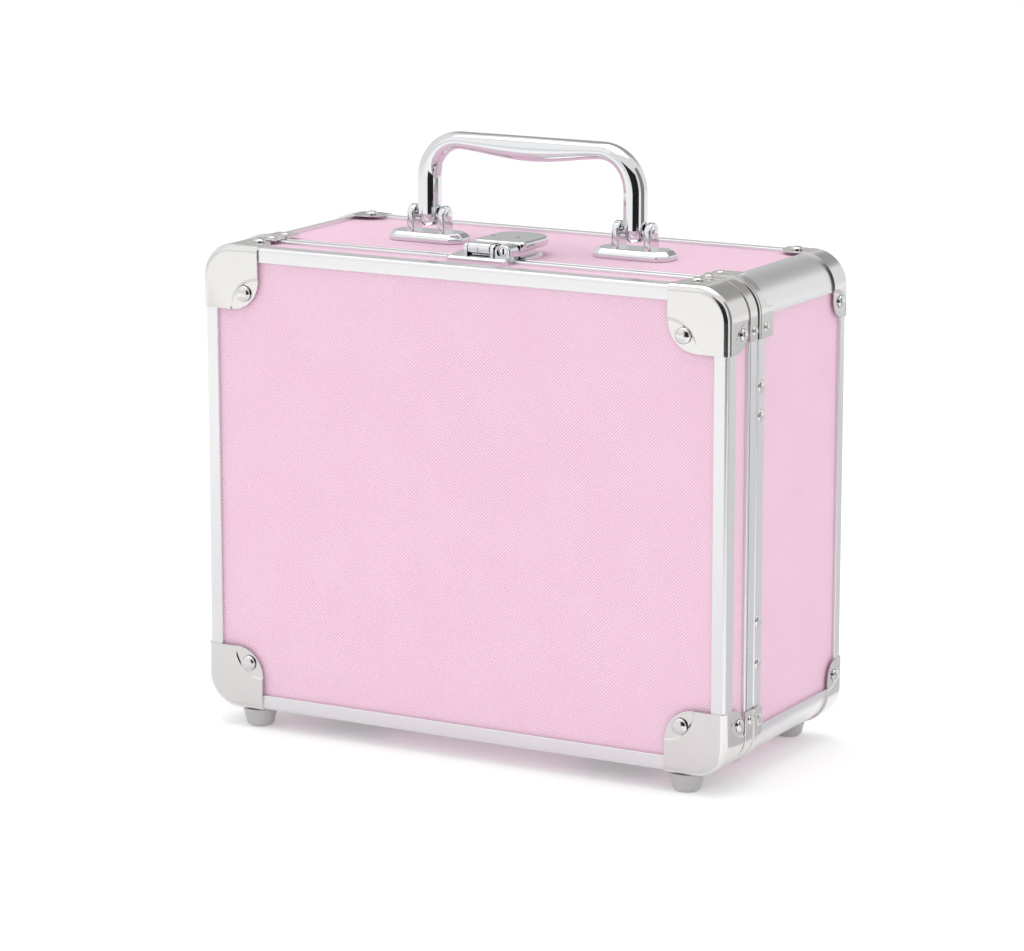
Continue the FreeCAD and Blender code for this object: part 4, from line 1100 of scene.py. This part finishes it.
# Each light's place, what it points at, its width and height, and its power.
LIGHTS = {
    "key_softbox": ((-0.85, -1.05, 1.15), (0, 0, 0.1), 1.3, 1.3, 1.0),
    "top_softbox": ((-0.1, 0.05, 1.6), (0, 0, 0.1), 1.4, 1.4, 8.0),
}
# Standing flags that only reflections see: azimuth and half-width in degrees, distance, top and colour.
FLAGS = {
    "front_flag": (-57, 29, 0.72, 0.62, "#050506"),
    "right_flag": (8, 17, 0.72, 0.8, "#808183"),
}
# Pale mats that only reflections see, on the floor to the right and before the lid face.
MATS = {
    "side_mat": ((0.13, 0.0), (0.80, 1.0), "#dadadc"),
    "front_mat": ((-0.40, -0.42), (0.12, -0.055), "#f6f6f7"),
}
# Gaps between the upper softboxes: azimuth and half-width in degrees, from and to in height, and tone.
GAPS = (
    (100, 34, 0.36, 0.80, 0.42),
    (119, 24, 0.06, 0.30, 0.6),
    (205, 40, 0.835, 0.868, 0.2),
)
HAZE = 0.08             # how softly a gap's edge fades
SKY = 0.93              # the white world's strength


def felt_card(name, code, size, place, turn=(0, 0, 0)):
    """A felt card that the camera, shadows and diffuse light pass through, so only reflections see it."""
    clear_selection()
    bpy.ops.mesh.primitive_plane_add(size=1, location=place, rotation=turn)
    bpy.context.object.scale = (*size, 1)
    card = settle(bpy.context.object, name)
    card.data.materials.append(felt(f"{name}_felt", code))
    card.visible_camera = card.visible_shadow = card.visible_diffuse = False


def white_cove(scene):
    """A white world with darker gaps, which the camera itself sees as plain white."""
    world = bpy.data.worlds.new("white_cove")
    world.use_nodes = True
    tree = world.node_tree
    way = add(tree, "ShaderNodeTexCoord").outputs["Generated"]
    height = add(tree, "ShaderNodeSeparateXYZ", {"Vector": way}).outputs["Z"]
    flat = add(tree, "ShaderNodeVectorMath", {0: way, 1: (1, 1, 0)}, operation="MULTIPLY").outputs[0]
    level = add(tree, "ShaderNodeVectorMath", {0: flat}, operation="NORMALIZE").outputs[0]
    tone = None
    for azimuth, half, low, high, shade in GAPS:
        turn, edge = math.radians(azimuth), math.cos(math.radians(half))
        toward_gap = add(tree, "ShaderNodeVectorMath", {0: level, 1: (math.cos(turn), math.sin(turn), 0)},
                         operation="DOT_PRODUCT").outputs["Value"]
        masks = [add(tree, "ShaderNodeMapRange", {"Value": value, "From Min": start, "From Max": end},
                     interpolation_type="SMOOTHSTEP").outputs[0]
                 for value, start, end in ((toward_gap, edge - HAZE, edge + HAZE),
                                           (height, low - HAZE / 2, low + HAZE / 2),
                                           (height, high + HAZE / 2, high - HAZE / 2))]
        both = add(tree, "ShaderNodeMath", {0: masks[0], 1: masks[1]}, operation="MULTIPLY").outputs[0]
        inside = add(tree, "ShaderNodeMath", {0: both, 1: masks[2]}, operation="MULTIPLY").outputs[0]
        kept = add(tree, "ShaderNodeMapRange", {"Value": inside, "To Min": 1.0, "To Max": shade}).outputs[0]
        tone = kept if tone is None else add(tree, "ShaderNodeMath", {0: tone, 1: kept},
                                             operation="MULTIPLY").outputs[0]
    camera_ray = add(tree, "ShaderNodeLightPath").outputs["Is Camera Ray"]
    seen = add(tree, "ShaderNodeMath", {0: tone, 1: camera_ray}, operation="MAXIMUM").outputs[0]
    sky = tree.nodes["Background"]
    tree.links.new(seen, sky.inputs["Color"])
    sky.inputs["Strength"].default_value = SKY
    scene.world = world


class TRAINCASE_OT_stage(bpy.types.Operator):
    """Plain pale floor, soft studio lights, flags that shade the chrome, and the camera"""
    bl_idname = "traincase.stage"
    bl_label = "Stage"

    def execute(self, context):
        scene = context.scene
        clear_selection()
        bpy.ops.mesh.primitive_plane_add(size=12)
        floor = settle(context.object, "studio_floor")
        floor.data.materials.append(painted_board())
        for name, (azimuth, half, distance, top, code) in FLAGS.items():
            turn = math.radians(azimuth)
            felt_card(name, code, (2 * distance * math.tan(math.radians(half)), top),
                      (distance * math.cos(turn), distance * math.sin(turn), top / 2),
                      (math.pi / 2, 0, turn + math.pi / 2))
        for name, ((x0, y0), (x1, y1), code) in MATS.items():
            felt_card(name, code, (x1 - x0, y1 - y0), ((x0 + x1) / 2, (y0 + y1) / 2, 1 * MM))

        white_cove(scene)
        for name, (at, target, wide, tall, power) in LIGHTS.items():
            lamp = bpy.data.lights.new(name, "AREA")
            lamp.shape = "RECTANGLE"
            lamp.size, lamp.size_y, lamp.energy = wide, tall, power
            holder = bpy.data.objects.new(name, lamp)
            scene.collection.objects.link(holder)
            holder.location = at
            holder.rotation_euler = (Vector(target) - Vector(at)).to_track_quat("-Z", "Y").to_euler()
        camera = bpy.data.objects.new("camera", bpy.data.cameras.new("camera"))
        scene.collection.objects.link(camera)
        camera.location = CAMERA_AT
        camera.rotation_euler = Vector(CAMERA_WAY).to_track_quat("-Z", "Y").to_euler()
        camera.data.lens = CAMERA_LENS
        camera.data.sensor_width = 36.0
        camera.data.clip_start, camera.data.clip_end = 0.05, 50.0
        scene.camera = camera
        scene.view_settings.view_transform = "Standard"
        return {"FINISHED"}


# ---------------------------------------------------------------- panel and registration
STEPS = (TRAINCASE_OT_stage, TRAINCASE_OT_covers, TRAINCASE_OT_bars, TRAINCASE_OT_edge_rounds,
         TRAINCASE_OT_caps, TRAINCASE_OT_clips, TRAINCASE_OT_rivets, TRAINCASE_OT_feet,
         TRAINCASE_OT_handle, TRAINCASE_OT_latch)


class TRAINCASE_PT_pieces(bpy.types.Panel):
    """The train case's pieces, in the order they are made"""
    bl_idname = "TRAINCASE_PT_pieces"
    bl_label = "Train Case"
    bl_space_type = "VIEW_3D"
    bl_region_type = "UI"
    bl_category = "Train Case"

    def draw(self, context):
        for step in STEPS:
            self.layout.operator(step.bl_idname)
        for group in (context.scene.train_case_sizes, context.scene.train_case_colours):
            for name in group.__annotations__:
                self.layout.prop(group, name)


CLASSES = (TrainCaseSizes, TrainCaseColours) + STEPS + (TRAINCASE_PT_pieces,)


def register():
    for item in CLASSES:
        bpy.utils.register_class(item)
    bpy.types.Scene.train_case_sizes = bpy.props.PointerProperty(type=TrainCaseSizes)
    bpy.types.Scene.train_case_colours = bpy.props.PointerProperty(type=TrainCaseColours)


def unregister():
    del bpy.types.Scene.train_case_colours
    del bpy.types.Scene.train_case_sizes
    for item in reversed(CLASSES):
        bpy.utils.unregister_class(item)


def main():
    register()
    for step in STEPS:
        group, name = step.bl_idname.split(".")
        getattr(getattr(bpy.ops, group), name)()


if __name__ == "__main__":
    main()
